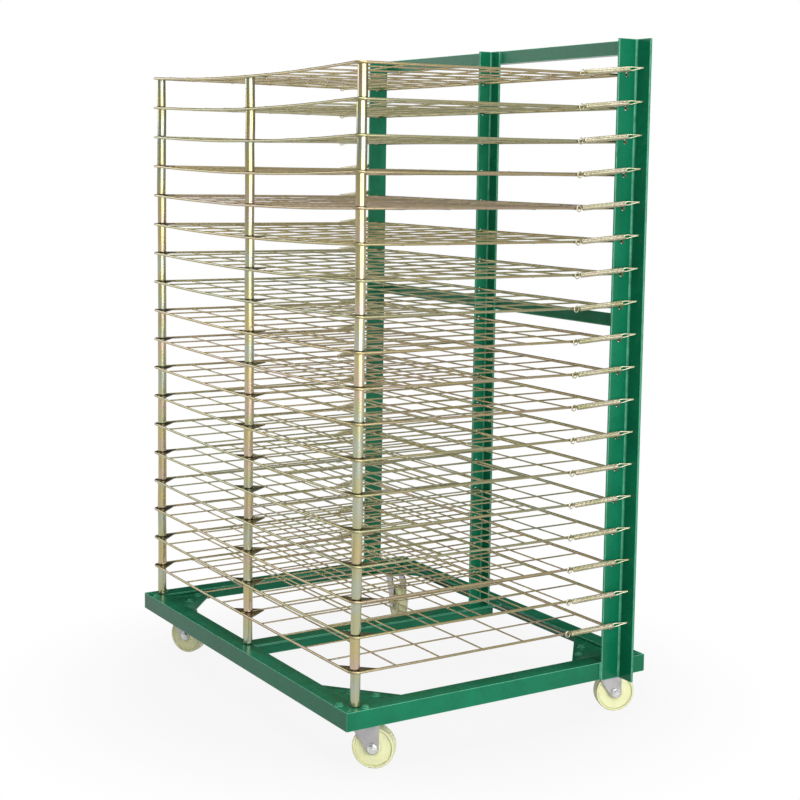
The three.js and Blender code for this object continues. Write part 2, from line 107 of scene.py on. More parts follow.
class RackSizes(bpy.types.PropertyGroup):
    """Sizes of the rack's sections, wires and springs"""

    beam_wall: length("Beam wall", "Thickness of the base beams and uprights", 0.004)
    beam_top: length("Beam top leg", "Width of a base beam's top leg", 0.036)
    root: length("Root radius", "Fillet in the inner corner of a rolled angle", 0.0032)
    toe: length("Toe radius", "Rounding at the inner edge of a leg's toe", 0.0016)
    arris: length("Arris radius", "Rounding of the outer edges of a rolled angle", 0.0007)
    rail_wall: length("Rail wall", "Thickness of the two rails", 0.003)
    rail_heel: length("Rail heel", "Rounding of the rails' outer corner", 0.0022)
    column_x: length("Column offset", "Distance of the outer spacer columns from the middle", 0.406)
    reach: length("Tray reach", "From the hinge to the spacer columns", 0.536)
    bend: length("Corner bend", "Radius of the frame wire's bend round a column", 0.014)
    frame_wire: length("Frame wire radius", "Radius of a tray's frame wire", 0.0024)
    mesh_wire: length("Mesh wire radius", "Radius of a tray's mesh wires", 0.0015)
    rod: length("Hinge rod radius", "Radius of a tray's hinge rod", 0.003)
    rod_end: length("Hinge rod half length", "From the middle to the end of the hinge rod", 0.437)
    tube: length("Tube radius", "Outer radius of a spacer tube", 0.0088)
    bore: length("Tube bore", "Inner radius of a spacer tube", 0.0072)
    sag: length("Sag", "How far the middle of a stiff tray's front edge hangs down", 0.0030)
    sag_more: length("More sag", "What the topmost tray hangs down beyond that", 0.0070)
    coil: length("Coil radius", "Radius of a spring to the middle of its wire", 0.0041)
    eye: length("Eye radius", "Radius of a spring's front eye to the middle of its wire", 0.0054)
    spring_wire: length("Spring wire radius", "Radius of the spring wire", 0.00105)
    turns: IntProperty(name="Turns", description="Turns of a tension spring", default=33, min=4)
    first_row: length("First row", "From the hinge to the cross wire that the springs hold", 0.0975)
    cells_across: IntProperty(name="Cells across", description="Mesh cells along a tray", default=10, min=2)
    cells_deep: IntProperty(name="Cells deep", description="Mesh cells from hinge to front", default=6, min=2)


class RackColours(bpy.types.PropertyGroup):
    """Colours of the rack's finishes"""

    green: colour("Green paint", "Main colour of the paint", (0.005, 0.172, 0.083))
    green_deep: colour("Deep green", "Paint where it lies thicker", (0.003, 0.130, 0.058))
    # Pale green on marked edges and fillets: partly paint rubbed thin, partly painted highlight
    green_pale: colour("Worn and highlighted green", "Paint rubbed thin, and painted highlight, along edges and fillets", (0.12, 0.45, 0.28))
    gold: colour("Zinc gold", "Gold part of the passivated zinc", (0.60, 0.50, 0.25))
    olive: colour("Zinc olive", "Olive part of the passivated zinc", (0.53, 0.51, 0.28))
    pink: colour("Zinc pink", "Pink part of the passivated zinc", (0.62, 0.48, 0.36))
    grey: colour("Zinc grey", "Blue-grey part of the passivated zinc", (0.50, 0.53, 0.42))
    steel: colour("Pressed steel", "Bright zinc of the caster forks", (0.46, 0.45, 0.45))
    cream: colour("Cream nylon", "Moulded wheels", (0.95, 0.96, 0.56))
    floor: colour("Floor", "Plain floor", (0.34, 0.34, 0.34))


def sizes():
    return bpy.context.scene.rack_sizes


def colours():
    return bpy.context.scene.rack_colours


# Shader helpers

def finish_of(name):
    """A new material with a Principled surface; returns material, tree, surface and object coordinates."""
    material = bpy.data.materials.new(name)
    material.use_nodes = True
    tree = material.node_tree
    tree.nodes.clear()
    out = tree.nodes.new("ShaderNodeOutputMaterial")
    surface = tree.nodes.new("ShaderNodeBsdfPrincipled")
    tree.links.new(surface.outputs[0], out.inputs[0])
    return material, tree, surface, tree.nodes.new("ShaderNodeTexCoord").outputs["Object"]


def feed(tree, socket, value):
    if isinstance(value, bpy.types.NodeSocket):
        tree.links.new(value, socket)
    else:
        socket.default_value = value


def noise(tree, coords, scale, detail=2.0, rough=0.5, warp=0.0):
    texture = tree.nodes.new("ShaderNodeTexNoise")
    tree.links.new(coords, texture.inputs["Vector"])
    for name, value in (("Scale", scale), ("Detail", detail), ("Roughness", rough), ("Distortion", warp)):
        texture.inputs[name].default_value = value
    return texture.outputs["Fac"]


def attribute(tree, name):
    reader = tree.nodes.new("ShaderNodeAttribute")
    reader.attribute_name = name
    return reader.outputs["Fac"]


def sums(tree, kind, first, second):
    step = tree.nodes.new("ShaderNodeMath")
    step.operation = kind
    feed(tree, step.inputs[0], first)
    feed(tree, step.inputs[1], second)
    return step.outputs[0]


def band(tree, value, low, high, bottom=0.0, top=1.0):
    """Carries low..high over to bottom..top, smoothly, and holds the ends."""
    step = tree.nodes.new("ShaderNodeMapRange")
    step.interpolation_type = "SMOOTHSTEP"
    feed(tree, step.inputs["Value"], value)
    for name, number in (("From Min", low), ("From Max", high), ("To Min", bottom), ("To Max", top)):
        step.inputs[name].default_value = number
    return step.outputs["Result"]


def ramp(tree, value, stops):
    step = tree.nodes.new("ShaderNodeValToRGB")
    tree.links.new(value, step.inputs[0])
    elements = step.color_ramp.elements
    while len(elements) < len(stops):
        elements.new(0.5)
    for element, (place, tone) in zip(elements, stops):
        element.position = place
        element.color = (*tone, 1.0)
    return step.outputs["Color"]


def mixed(tree, share, first, second):
    step = tree.nodes.new("ShaderNodeMix")
    step.data_type = "RGBA"
    feed(tree, step.inputs[0], share)
    feed(tree, step.inputs[6], first if isinstance(first, bpy.types.NodeSocket) else (*first, 1.0))
    feed(tree, step.inputs[7], second if isinstance(second, bpy.types.NodeSocket) else (*second, 1.0))
    return step.outputs[2]


def bumped(tree, surface, height, strength, depth):
    step = tree.nodes.new("ShaderNodeBump")
    step.inputs["Strength"].default_value = strength
    step.inputs["Distance"].default_value = depth
    tree.links.new(height, step.inputs["Height"])
    tree.links.new(step.outputs["Normal"], surface.inputs["Normal"])


def tuned(tone, share):
    return tuple(min(1.0, part * share) for part in tone)


# Finishes

def gloss_green():
    """Sprayed gloss enamel: cloudy depth, orange peel, chipped edges, and pale edges that are partly rubbed
    paint and partly painted highlight.
    """
    c = colours()
    material, tree, surface, coords = finish_of("gloss_green_paint")
    cloud = noise(tree, coords, 7.0, 4.0, 0.6, 0.4)
    speck = noise(tree, coords, 160.0, 3.0, 0.6)
    grit = noise(tree, coords, 55.0, 4.0, 0.7)
    coat = ramp(tree, cloud, ((0.28, c.green_deep), (0.52, c.green), (0.74, tuned(c.green, 1.22))))
    coat = mixed(tree, band(tree, speck, 0.55, 0.75, 0.0, 0.35), coat, tuned(c.green_deep, 0.8))
    # Pale mix on marked edges, fillets, weld beads and bolt heads: partly paint rubbed thin, partly painted
    # highlight
    edge = attribute(tree, "edge")
    rub_and_highlight = band(tree, sums(tree, "MULTIPLY", edge, sums(tree, "ADD", grit, 0.45)), 0.42, 0.95, 0.0, 0.85)
    coat = mixed(tree, rub_and_highlight, coat, c.green_pale)
    chip = band(tree, sums(tree, "MULTIPLY", edge, grit), 0.60, 0.66)
    coat = mixed(tree, chip, coat, (0.22, 0.23, 0.21))
    tree.links.new(coat, surface.inputs["Base Color"])
    gloss = sums(tree, "ADD", band(tree, cloud, 0.3, 0.7, 0.20, 0.32), sums(tree, "MULTIPLY", chip, 0.25))
    tree.links.new(gloss, surface.inputs["Roughness"])
    surface.inputs["Specular IOR Level"].default_value = 0.17
    surface.inputs["Coat Weight"].default_value = 0.06
    surface.inputs["Coat Roughness"].default_value = 0.07
    peel = sums(tree, "ADD", noise(tree, coords, 190.0, 1.0, 0.5), sums(tree, "MULTIPLY", chip, -0.6))
    bumped(tree, surface, peel, 0.10, 0.0006)
    return material


def yellow_zinc(name, depth, low, high, drawn):
    """Yellow passivated zinc: gold, olive, pink and grey drift, with each piece's own tint and gradient."""
    c = colours()
    material, tree, surface, coords = finish_of(name)
    drift = noise(tree, coords, 11.0, 3.0, 0.55, 0.6)
    lengthwise = tree.nodes.new("ShaderNodeVectorMath")
    lengthwise.operation = "MULTIPLY"
    tree.links.new(coords, lengthwise.inputs[0])
    lengthwise.inputs[1].default_value = (1, 1, drawn)
    streak = noise(tree, lengthwise.outputs[0], 90.0, 3.0, 0.6)
    rise = sums(tree, "MULTIPLY", attribute(tree, "rise"), 0.34)
    place = sums(tree, "ADD", attribute(tree, "tint"), sums(tree, "MULTIPLY", drift, 0.55))
    place = sums(tree, "FRACT", sums(tree, "ADD", place, rise), 0.0)
    stops = ((0.02, c.gold), (0.24, c.olive), (0.46, c.grey), (0.64, c.olive), (0.80, c.pink), (0.98, c.gold))
    tone = ramp(tree, place, [(spot, tuned(shade, depth)) for spot, shade in stops])
    tone = mixed(tree, band(tree, streak, 0.50, 0.78, 0.0, 0.5), tone, tuned(c.olive, 0.5 * depth))
    # Darker where the edge mark is high: over the whole tie plates this is painted shade; on the tubes it
    # darkens their ends.
    tone = mixed(tree, band(tree, attribute(tree, "edge"), 0.3, 1.0, 0.0, 0.8), tone, (0.055, 0.048, 0.028))
    tree.links.new(tone, surface.inputs["Base Color"])
    surface.inputs["Metallic"].default_value = 0.82
    tree.links.new(band(tree, streak, 0.25, 0.8, low, high), surface.inputs["Roughness"])
    bumped(tree, surface, noise(tree, coords, 420.0, 2.0, 0.6), 0.12, 0.0004)
    return material


def spring_steel():
    """Zinc plated spring wire with darker random grain."""
    c = colours()
    material, tree, surface, coords = finish_of("spring_steel")
    drift = noise(tree, coords, 24.0, 3.0, 0.6)
    grain = noise(tree, coords, 300.0, 2.0, 0.6)
    stops = ((0.30, tuned(c.olive, 0.95)), (0.55, (0.66, 0.62, 0.46)), (0.75, (0.70, 0.60, 0.48)))
    tone = ramp(tree, drift, stops)
    tone = mixed(tree, band(tree, grain, 0.55, 0.8, 0.0, 0.45), tone, (0.20, 0.18, 0.12))
    tree.links.new(tone, surface.inputs["Base Color"])
    surface.inputs["Metallic"].default_value = 0.85
    tree.links.new(band(tree, grain, 0.2, 0.8, 0.24, 0.42), surface.inputs["Roughness"])
    bumped(tree, surface, grain, 0.10, 0.0003)
    return material


def pressed_zinc(name, tone, low, high):
    """Bright zinc on pressings and nuts: fine crystals, a little tarnish, rubbed edges."""
    material, tree, surface, coords = finish_of(name)
    cloud = noise(tree, coords, 38.0, 3.0, 0.6, 0.3)
    crystal = tree.nodes.new("ShaderNodeTexVoronoi")
    crystal.inputs["Scale"].default_value = 320.0
    tree.links.new(coords, crystal.inputs["Vector"])
    look = ramp(tree, cloud, ((0.30, tuned(tone, 0.74)), (0.55, tone), (0.80, tuned(tone, 1.12))))
    look = mixed(tree, band(tree, crystal.outputs["Distance"], 0.1, 0.7, 0.0, 0.22), look, tuned(tone, 0.6))
    look = mixed(tree, band(tree, attribute(tree, "edge"), 0.3, 1.0, 0.0, 0.5), look, tuned(tone, 0.45))
    tree.links.new(look, surface.inputs["Base Color"])
    surface.inputs["Metallic"].default_value = 0.8
    tree.links.new(band(tree, cloud, 0.25, 0.75, low, high), surface.inputs["Roughness"])
    bumped(tree, surface, crystal.outputs["Distance"], 0.08, 0.0003)
    return material


def cream_nylon():
    """Moulded cream nylon, a little yellowed, darker at the tread's edges, the groove ring and the hub step;
    the line along the tread's edges is painted shade.
    """
    c = colours()
    material, tree, surface, coords = finish_of("cream_nylon")
    cloud = noise(tree, coords, 26.0, 3.0, 0.55, 0.3)
    scuff = noise(tree, coords, 130.0, 4.0, 0.65)
    tone = ramp(tree, cloud, ((0.25, tuned(c.cream, 0.90)), (0.5, c.cream), (0.78, (0.86, 0.85, 0.60))))
    # Darkens where the profile marks it; along the tread's edges this is painted shade.
    darkened_share = sums(tree, "MULTIPLY", attribute(tree, "darkening"), band(tree, scuff, 0.2, 0.62, 0.45, 1.0))
    tone = mixed(tree, darkened_share, tone, (0.10, 0.085, 0.045))
    tree.links.new(tone, surface.inputs["Base Color"])
    tree.links.new(band(tree, scuff, 0.3, 0.7, 0.36, 0.52), surface.inputs["Roughness"])
    surface.inputs["Subsurface Weight"].default_value = 0.12
    surface.inputs["Subsurface Radius"].default_value = (0.004, 0.003, 0.0015)
    bumped(tree, surface, scuff, 0.10, 0.0004)
    return material


def shared(maker, *words):
    """Makes a material once and hands out the same one afterwards."""
    name = words[0] if words else maker.__name__
    kept = bpy.context.scene.get("rack_finishes", {})
    if name not in kept or kept[name] not in bpy.data.materials:
        material = maker(*words)
        kept = dict(kept)
        kept[name] = material.name
        bpy.context.scene["rack_finishes"] = kept
    return bpy.data.materials[kept[name]]


def green_finish():
    return shared(gloss_green)


def tube_finish():
    return shared(yellow_zinc, "tube_zinc", 0.84, 0.16, 0.28, 0.10)


# The wire zinc is the tube zinc's palette taken darker, 0.64 against 0.84: painted shade for the thin wires.
def wire_finish():
    return shared(yellow_zinc, "wire_zinc", 0.64, 0.13, 0.24, 1.0)


def fork_finish():
    return shared(pressed_zinc, "pressed_zinc", tuple(colours().steel), 0.30, 0.46)


def nut_finish():
    return shared(pressed_zinc, "bright_nut", (0.80, 0.80, 0.80), 0.16, 0.28)


# Mesh helpers

def thing_from(name, mesh, material=None):
    thing = bpy.data.objects.new(name, mesh)
    bpy.context.scene.collection.objects.link(thing)
    if material:
        mesh.materials.append(material)
    return thing


def settled(build, name, material, angle=38.0):
    """Turns a bmesh into an object with outward faces and edges that are sharp past the angle."""
    bmesh.ops.recalc_face_normals(build, faces=build.faces)
    mesh = bpy.data.meshes.new(name)
    build.to_mesh(mesh)
    build.free()
    mesh.shade_smooth()
    mesh.set_sharp_from_angle(angle=math.radians(angle))
    return thing_from(name, mesh, material)


def baked(thing, angle=None):
    """Makes what the modifiers give the object's own plain mesh, and removes them."""
    bpy.context.view_layer.update()
    graph = bpy.context.evaluated_depsgraph_get()
    mesh = bpy.data.meshes.new_from_object(
        thing.evaluated_get(graph), preserve_all_data_layers=True, depsgraph=graph)
    thing.modifiers.clear()
    old, thing.data = thing.data, mesh
    bpy.data.meshes.remove(old)
    mesh.name = thing.name
    if angle:
        mesh.shade_smooth()
        mesh.set_sharp_from_angle(angle=math.radians(angle))
    return thing


def merged(name, things):
    """Joins objects into the first one."""
    first = things[0]
    if len(things) > 1:
        chosen = {"active_object": first, "selected_editable_objects": things, "selected_objects": things}
        with bpy.context.temp_override(**chosen):
            bpy.ops.object.join()
    first.name = name
    first.data.name = name
    return first


def drilled(thing, tool):
    cutter = thing.modifiers.new("holes", "BOOLEAN")
    cutter.object = tool
    cutter.operation = "DIFFERENCE"
    cutter.solver = "EXACT"
    baked(thing, 38.0)
    bpy.data.objects.remove(tool)
    return thing


def around(radius, share, height):
    """A point on a circle about the z axis, a share of the way round."""
    angle = 2 * math.pi * share
    return Vector((radius * math.cos(angle), radius * math.sin(angle), height))


def rounded_section(corners, guard=0.0005):
    """A closed section with rounded corners from (u, v, radius, steps, wear) as (u, v, wear)."""
    points = []
    for i, (u, v, radius, steps, wear_and_highlight) in enumerate(corners):
        here = Vector((u, v))
        back = (Vector(corners[i - 1][:2]) - here).normalized()
        ahead = (Vector(corners[(i + 1) % len(corners)][:2]) - here).normalized()
        opening = math.acos(max(-1.0, min(1.0, back.dot(ahead))))
        reach = radius / math.tan(opening / 2)
        centre = here + (back + ahead).normalized() * (radius / math.sin(opening / 2))
        start = here + back * reach - centre
        sweep_angle = (math.pi - opening) * (1 if start.cross(here + ahead * reach - centre) > 0 else -1)
        points.append((*(here + back * (reach + guard)), 0.0))
        for step in range(steps + 1):
            turn = Matrix.Rotation(sweep_angle * step / steps, 2)
            points.append((*(centre + turn @ start), wear_and_highlight))
        points.append((*(here + ahead * (reach + guard)), 0.0))
    return points


def angle_section(leg_u, leg_v, wall, root, heel=None, root_highlight=0.0):
    """A rolled angle: heel at the origin, legs along u and v."""
    s = sizes()
    toe = s.toe * wall / s.beam_wall
    # Toes and arrises get the pale edge mark, partly rubbed paint and partly painted highlight; the mark
    # given to the root fillet is a painted highlight line in the inner corner.
    return rounded_section((
        (0, 0, heel or s.arris, 3, 1.0), (leg_u, 0, s.arris, 3, 1.0), (leg_u, wall, toe, 4, 0.9),
        (wall, wall, root, 6, root_highlight), (wall, leg_v, toe, 4, 0.9), (0, leg_v, s.arris, 3, 1.0),
    ))


def carried(name, section, stations, material, loop=False):
    """Carries a section along stations of (origin, u axis, v axis, wear)."""
    build = bmesh.new()
    edge = build.verts.layers.float.new("edge")
    rings = []
    for origin, across, down, edge_mark in stations:
        ring = []
        for u, v, wear_and_highlight in section:
            vertex = build.verts.new(origin + across * u + down * v)
            vertex[edge] = max(wear_and_highlight, edge_mark)
            ring.append(vertex)
        rings.append(ring)
    count = len(section)
    pairs = list(zip(rings, rings[1:])) + ([(rings[-1], rings[0])] if loop else [])
    for first, second in pairs:
        for i in range(count):
            j = (i + 1) % count
            build.faces.new((first[i], first[j], second[j], second[i]))
    if not loop:
        build.faces.new(rings[0])
        build.faces.new(list(reversed(rings[-1])))
    return settled(build, name, material)


def ends_of(low, high, rub_and_highlight=0.003):
    """Places along a bar with a short stretch at each end marked for the pale edge colour: rubbed paint and
    painted highlight.
    """
    return ((low, 0.9), (low + rub_and_highlight, 0.0), (high - rub_and_highlight, 0.0), (high, 0.9))


def prism(name, outline, low, high, material, bevel):
    """A flat plate from an outline, with its edges rounded."""
    build = bmesh.new()
    ring = [build.verts.new((x, y, low)) for x, y in outline]
    face = build.faces.new(ring)
    grown = bmesh.ops.extrude_face_region(build, geom=[face])
    moved = [part for part in grown["geom"] if isinstance(part, bmesh.types.BMVert)]
    bmesh.ops.translate(build, verts=moved, vec=(0, 0, high - low))
    thing = settled(build, name, material)
    rounding = thing.modifiers.new("rounding", "BEVEL")
    rounding.width = bevel
    rounding.segments = 2
    return baked(thing, 40.0)


def lathe(name, profile, frame_matrix, material, segments=48, layer="edge"):
    """Turns a closed profile of (radius, height, mark) about the z axis of the frame."""
    build = bmesh.new()
    mark = build.verts.layers.float.new(layer)
    rings = []
    for radius, height, value in profile:
        ring = []
        for i in range(segments):
            vertex = build.verts.new(frame_matrix @ around(radius, i / segments, height))
            vertex[mark] = value
            ring.append(vertex)
        rings.append(ring)
    for first, second in zip(rings, rings[1:] + rings[:1]):
        for i in range(segments):
            j = (i + 1) % segments
            build.faces.new((first[i], first[j], second[j], second[i]))
    return settled(build, name, material, 32.0)


def hex_solid(name, radius, low, high, frame_matrix, material):
    """A hexagon nut or bolt head with chamfered corners."""
    build = bmesh.new()
    mark = build.verts.layers.float.new("edge")
    chamfer = 0.13 * radius
    rings = []
    for reach, height, value in ((radius * 0.88, low, 0.4), (radius, low + chamfer * 0.6, 0.2),
                                 (radius, high - chamfer, 0.2), (radius * 0.86, high, 0.5)):
        ring = []
        for i in range(6):
            vertex = build.verts.new(frame_matrix @ around(reach, i / 6, height))
            vertex[mark] = value
            ring.append(vertex)
        rings.append(ring)
    for first, second in zip(rings, rings[1:]):
        for i in range(6):
            build.faces.new((first[i], first[(i + 1) % 6], second[(i + 1) % 6], second[i]))
    build.faces.new(rings[0])
    build.faces.new(rings[-1])
    return settled(build, name, material, 25.0)


# Geometry Nodes

def new_tree(name, *inputs):
    """A geometry tree with its inputs; returns tree, group input and group output."""
    tree = bpy.data.node_groups.new(name, "GeometryNodeTree")
    tree.interface.new_socket(name="Geometry", in_out="INPUT", socket_type="NodeSocketGeometry")
    for label, kind, default in inputs:
        socket = tree.interface.new_socket(name=label, in_out="INPUT", socket_type=kind)
        if default is not None:
            socket.default_value = default
    tree.interface.new_socket(name="Geometry", in_out="OUTPUT", socket_type="NodeSocketGeometry")
    return tree, tree.nodes.new("NodeGroupInput"), tree.nodes.new("NodeGroupOutput")


def step_in(tree, kind, **inputs):
    step = tree.nodes.new(kind)
    for name, value in inputs.items():
        socket = next(s for s in step.inputs if s.enabled and s.name == name.replace("_", " "))
        feed(tree, socket, value)
    return step


def close_tree(tree, mesh, given, leave):
    """Every tree ends in smooth shading, Realize Instances and Set Material."""
    smooth = step_in(tree, "GeometryNodeSetShadeSmooth", Geometry=mesh)
    real = step_in(tree, "GeometryNodeRealizeInstances", Geometry=smooth.outputs[0])
    painted = step_in(tree, "GeometryNodeSetMaterial", Geometry=real.outputs[0],
                      Material=given.outputs["Material"])
    tree.links.new(painted.outputs[0], leave.inputs[0])
    return tree


def grown_with(thing, tree, **values):
    """Runs a tree on an object and keeps the plain mesh."""
    modifier = thing.modifiers.new(tree.name, "NODES")
    modifier.node_group = tree
    for socket in tree.interface.items_tree:
        key = socket.name.replace(" ", "_")
        if socket.in_out == "INPUT" and key in values:
            modifier[socket.identifier] = values[key]
    return baked(thing)


def bent_wire_tree():
    """Round wire along the input's edges, as thick as their 'thick' attribute, with a slow wobble."""
    tree, given, leave = new_tree(
        "Bent wire", ("Sides", "NodeSocketInt", 8), ("Wobble", "NodeSocketFloat", 0.0),
        ("Wobble Scale", "NodeSocketFloat", 6.0), ("Seed", "NodeSocketFloat", 0.0),
        ("Material", "NodeSocketMaterial", None))
    path = step_in(tree, "GeometryNodeMeshToCurve", Mesh=given.outputs["Geometry"])
    field = tree.nodes.new("ShaderNodeTexNoise")
    field.noise_dimensions = "4D"
    feed(tree, field.inputs["W"], given.outputs["Seed"])
    feed(tree, field.inputs["Scale"], given.outputs["Wobble Scale"])
    centred = step_in(tree, "ShaderNodeVectorMath")
    centred.operation = "SUBTRACT"
    feed(tree, centred.inputs[0], field.outputs["Color"])
    centred.inputs[1].default_value = (0.5, 0.5, 0.5)
    drift = step_in(tree, "ShaderNodeVectorMath")
    drift.operation = "SCALE"
    feed(tree, drift.inputs[0], centred.outputs[0])
    feed(tree, drift.inputs["Scale"], given.outputs["Wobble"])
    moved = step_in(tree, "GeometryNodeSetPosition", Geometry=path.outputs[0], Offset=drift.outputs[0])
    section = step_in(tree, "GeometryNodeCurvePrimitiveCircle", Resolution=given.outputs["Sides"], Radius=1.0)
    thick = step_in(tree, "GeometryNodeInputNamedAttribute", Name="thick")
    solid = step_in(tree, "GeometryNodeCurveToMesh", Curve=moved.outputs[0], Profile_Curve=section.outputs[0],
                    Scale=thick.outputs[0], Fill_Caps=True)
    return close_tree(tree, solid.outputs[0], given, leave)


def nugget_tree():
    """A small weld nugget on every input point, each a little different."""
    tree, given, leave = new_tree(
        "Weld nuggets", ("Radius", "NodeSocketFloat", 0.003), ("Seed", "NodeSocketInt", 1),
        ("Material", "NodeSocketMaterial", None))
    ball = step_in(tree, "GeometryNodeMeshIcoSphere", Radius=given.outputs["Radius"], Subdivisions=2)
    spread = tree.nodes.new("FunctionNodeRandomValue")
    spread.data_type = "FLOAT_VECTOR"
    spread.inputs[0].default_value = (0.8, 0.8, 0.7)
    spread.inputs[1].default_value = (1.25, 1.25, 1.05)
    feed(tree, spread.inputs["Seed"], given.outputs["Seed"])
    placed = step_in(tree, "GeometryNodeInstanceOnPoints", Points=given.outputs["Geometry"],
                     Instance=ball.outputs[0], Scale=spread.outputs[0])
    return close_tree(tree, placed.outputs[0], given, leave)


def spring_tree():
    """A close coil from Start to End, joined to the input's edges as its end loops."""
    tree, given, leave = new_tree(
        "Tension spring", ("Start", "NodeSocketVector", (0, 0, 0)), ("End", "NodeSocketVector", (0, 0.07, 0)),
        ("Turns", "NodeSocketFloat", 30.0), ("Coil Radius", "NodeSocketFloat", 0.0034),
        ("Wire Radius", "NodeSocketFloat", 0.001), ("Sides", "NodeSocketInt", 6),
        ("Material", "NodeSocketMaterial", None))
    run = step_in(tree, "ShaderNodeVectorMath")
    run.operation = "SUBTRACT"
    feed(tree, run.inputs[0], given.outputs["End"])
    feed(tree, run.inputs[1], given.outputs["Start"])
    size = step_in(tree, "ShaderNodeVectorMath")
    size.operation = "LENGTH"
    feed(tree, size.inputs[0], run.outputs[0])
    coil = step_in(tree, "GeometryNodeCurveSpiral", Resolution=12, Rotations=given.outputs["Turns"],
                   Start_Radius=given.outputs["Coil Radius"], End_Radius=given.outputs["Coil Radius"],
                   Height=size.outputs["Value"])
    aim = tree.nodes.new("FunctionNodeAlignRotationToVector")
    aim.axis = "Z"
    feed(tree, aim.inputs["Vector"], run.outputs[0])
    laid = step_in(tree, "GeometryNodeTransform", Geometry=coil.outputs[0],
                   Translation=given.outputs["Start"], Rotation=aim.outputs[0])
    loops = step_in(tree, "GeometryNodeMeshToCurve", Mesh=given.outputs["Geometry"])
    both = tree.nodes.new("GeometryNodeJoinGeometry")
    tree.links.new(laid.outputs[0], both.inputs[0])
    tree.links.new(loops.outputs[0], both.inputs[0])
    section = step_in(tree, "GeometryNodeCurvePrimitiveCircle", Resolution=given.outputs["Sides"],
                      Radius=given.outputs["Wire Radius"])
    solid = step_in(tree, "GeometryNodeCurveToMesh", Curve=both.outputs[0], Profile_Curve=section.outputs[0],
                    Fill_Caps=True)
    return close_tree(tree, solid.outputs[0], given, leave)


def kept_tree(maker, name):
    return bpy.data.node_groups.get(name) or maker()


def lines_mesh(name, lines):
    """An edge mesh from lines of (points, thickness, closed)."""
    points, edges, thick = [], [], []
    for line, radius, closed in lines:
        first = len(points)
        points += [tuple(point) for point in line]
        thick += list(radius) if isinstance(radius, (list, tuple)) else [radius] * len(line)
        edges += [(first + i, first + i + 1) for i in range(len(line) - 1)]
        if closed:
            edges.append((len(points) - 1, first))
    mesh = bpy.data.meshes.new(name)
    mesh.from_pydata(points, edges, [])
    mesh.attributes.new("thick", "FLOAT", "POINT").data.foreach_set("value", thick)
    return thing_from(name, mesh)


def wires(name, lines, sides, material, wobble=0.0, seed=0.0):
    tree = kept_tree(bent_wire_tree, "Bent wire")
    return grown_with(lines_mesh(name, lines), tree, Sides=sides, Wobble=wobble, Seed=seed, Material=material)


def nuggets(name, points, radius, seed, material):
    mesh = bpy.data.meshes.new(name)
    mesh.from_pydata([tuple(point) for point in points], [], [])
    tree = kept_tree(nugget_tree, "Weld nuggets")
    return grown_with(thing_from(name, mesh), tree, Radius=radius, Seed=seed, Material=material)


def marked(thing, **values):
    """Gives every point of a mesh the same value of each named attribute."""
    for name, value in values.items():
        layer = thing.data.attributes.get(name) or thing.data.attributes.new(name, "FLOAT", "POINT")
        layer.data.foreach_set("value", [value] * len(thing.data.vertices))
    return thing


def part_of(thing, body, slot, *nodes):
    """Rides a finished piece on its body and hides the solids that it stands for; slot is not used."""
    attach(thing, body)
    if nodes:
        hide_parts(*nodes)
    return thing


# Frame pieces

class RACK_OT_base(bpy.types.Operator):
    """Base frame of rolled angle, welded at the mitres, with its middle beam"""

    bl_idname = "rack.make_base"
    bl_label = "Base frame"

    def execute(self, context):
        s = sizes()
        depth = BASE_HIGH.z - BASE_LOW.z
        section = angle_section(s.beam_top, depth, s.beam_wall, s.root)
        stations = []
        corners = ((1, -1), (1, 1), (-1, 1), (-1, -1))
        for i, (x, y) in enumerate(corners):
            corner_x = BASE_HIGH.x if x > 0 else BASE_LOW.x
            corner_y = BASE_HIGH.y if y > 0 else BASE_LOW.y
            spot = Vector((corner_x, corner_y, BASE_HIGH.z))
            inward, down = Vector((-x, -y, 0)), Vector((0, 0, -1))
            before = Vector((*corners[i - 1], 0)) - Vector((x, y, 0))
            after = Vector((*corners[(i + 1) % 4], 0)) - Vector((x, y, 0))
            # Each mitred corner gets the pale edge mark of 0.8: rubbed paint and painted highlight.
            stations += [(spot + before.normalized() * 0.003, inward, down, 0.0), (spot, inward, down, 0.8),
                         (spot + after.normalized() * 0.003, inward, down, 0.0)]
        ring = carried("base_frame", section, stations, green_finish(), loop=True)
        part_of(ring, "frame", "green_paint", *BASE_BEAMS)
        low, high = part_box("base_middle_beam")
        places = [(Vector((low.x, y, high.z)), Vector((1, 0, 0)), Vector((0, 0, -1)), edge_mark)
                  for y, edge_mark in ends_of(low.y, high.y)]
        middle = carried("base_cross_beam", section, places, green_finish())
        part_of(middle, "frame", "green_paint", "base_middle_beam")
        return {"FINISHED"}


def post(node, heel_x, outward, wall, root):
    """An upright of rolled angle with its row of hinge holes."""
    low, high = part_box(node)
    # The root fillet's mark of 0.8 paints a highlight line into the inner corner.
    section = angle_section(high.y - low.y, high.x - low.x, wall, root, root_highlight=0.8)
    places = [(Vector((heel_x, high.y, z)), Vector((0, -1, 0)), Vector((outward, 0, 0)), edge_mark)
              for z, edge_mark in ends_of(low.z, high.z)]
    bar = carried(node + "_bar", section, places, green_finish())
    tool = bmesh.new()
    across = Matrix.Rotation(math.pi / 2, 4, "Y")
    for level in LEVELS:
        spot = Matrix.Translation((heel_x + outward * wall / 2, HINGE_Y, level))
        bmesh.ops.create_cone(tool, cap_ends=True, segments=20, radius1=HOLE_RADIUS, radius2=HOLE_RADIUS,
                              depth=wall * 3, matrix=spot @ across)
    drilled(bar, settled(tool, "hole_tool", None))
    return part_of(bar, "frame", "green_paint", node)


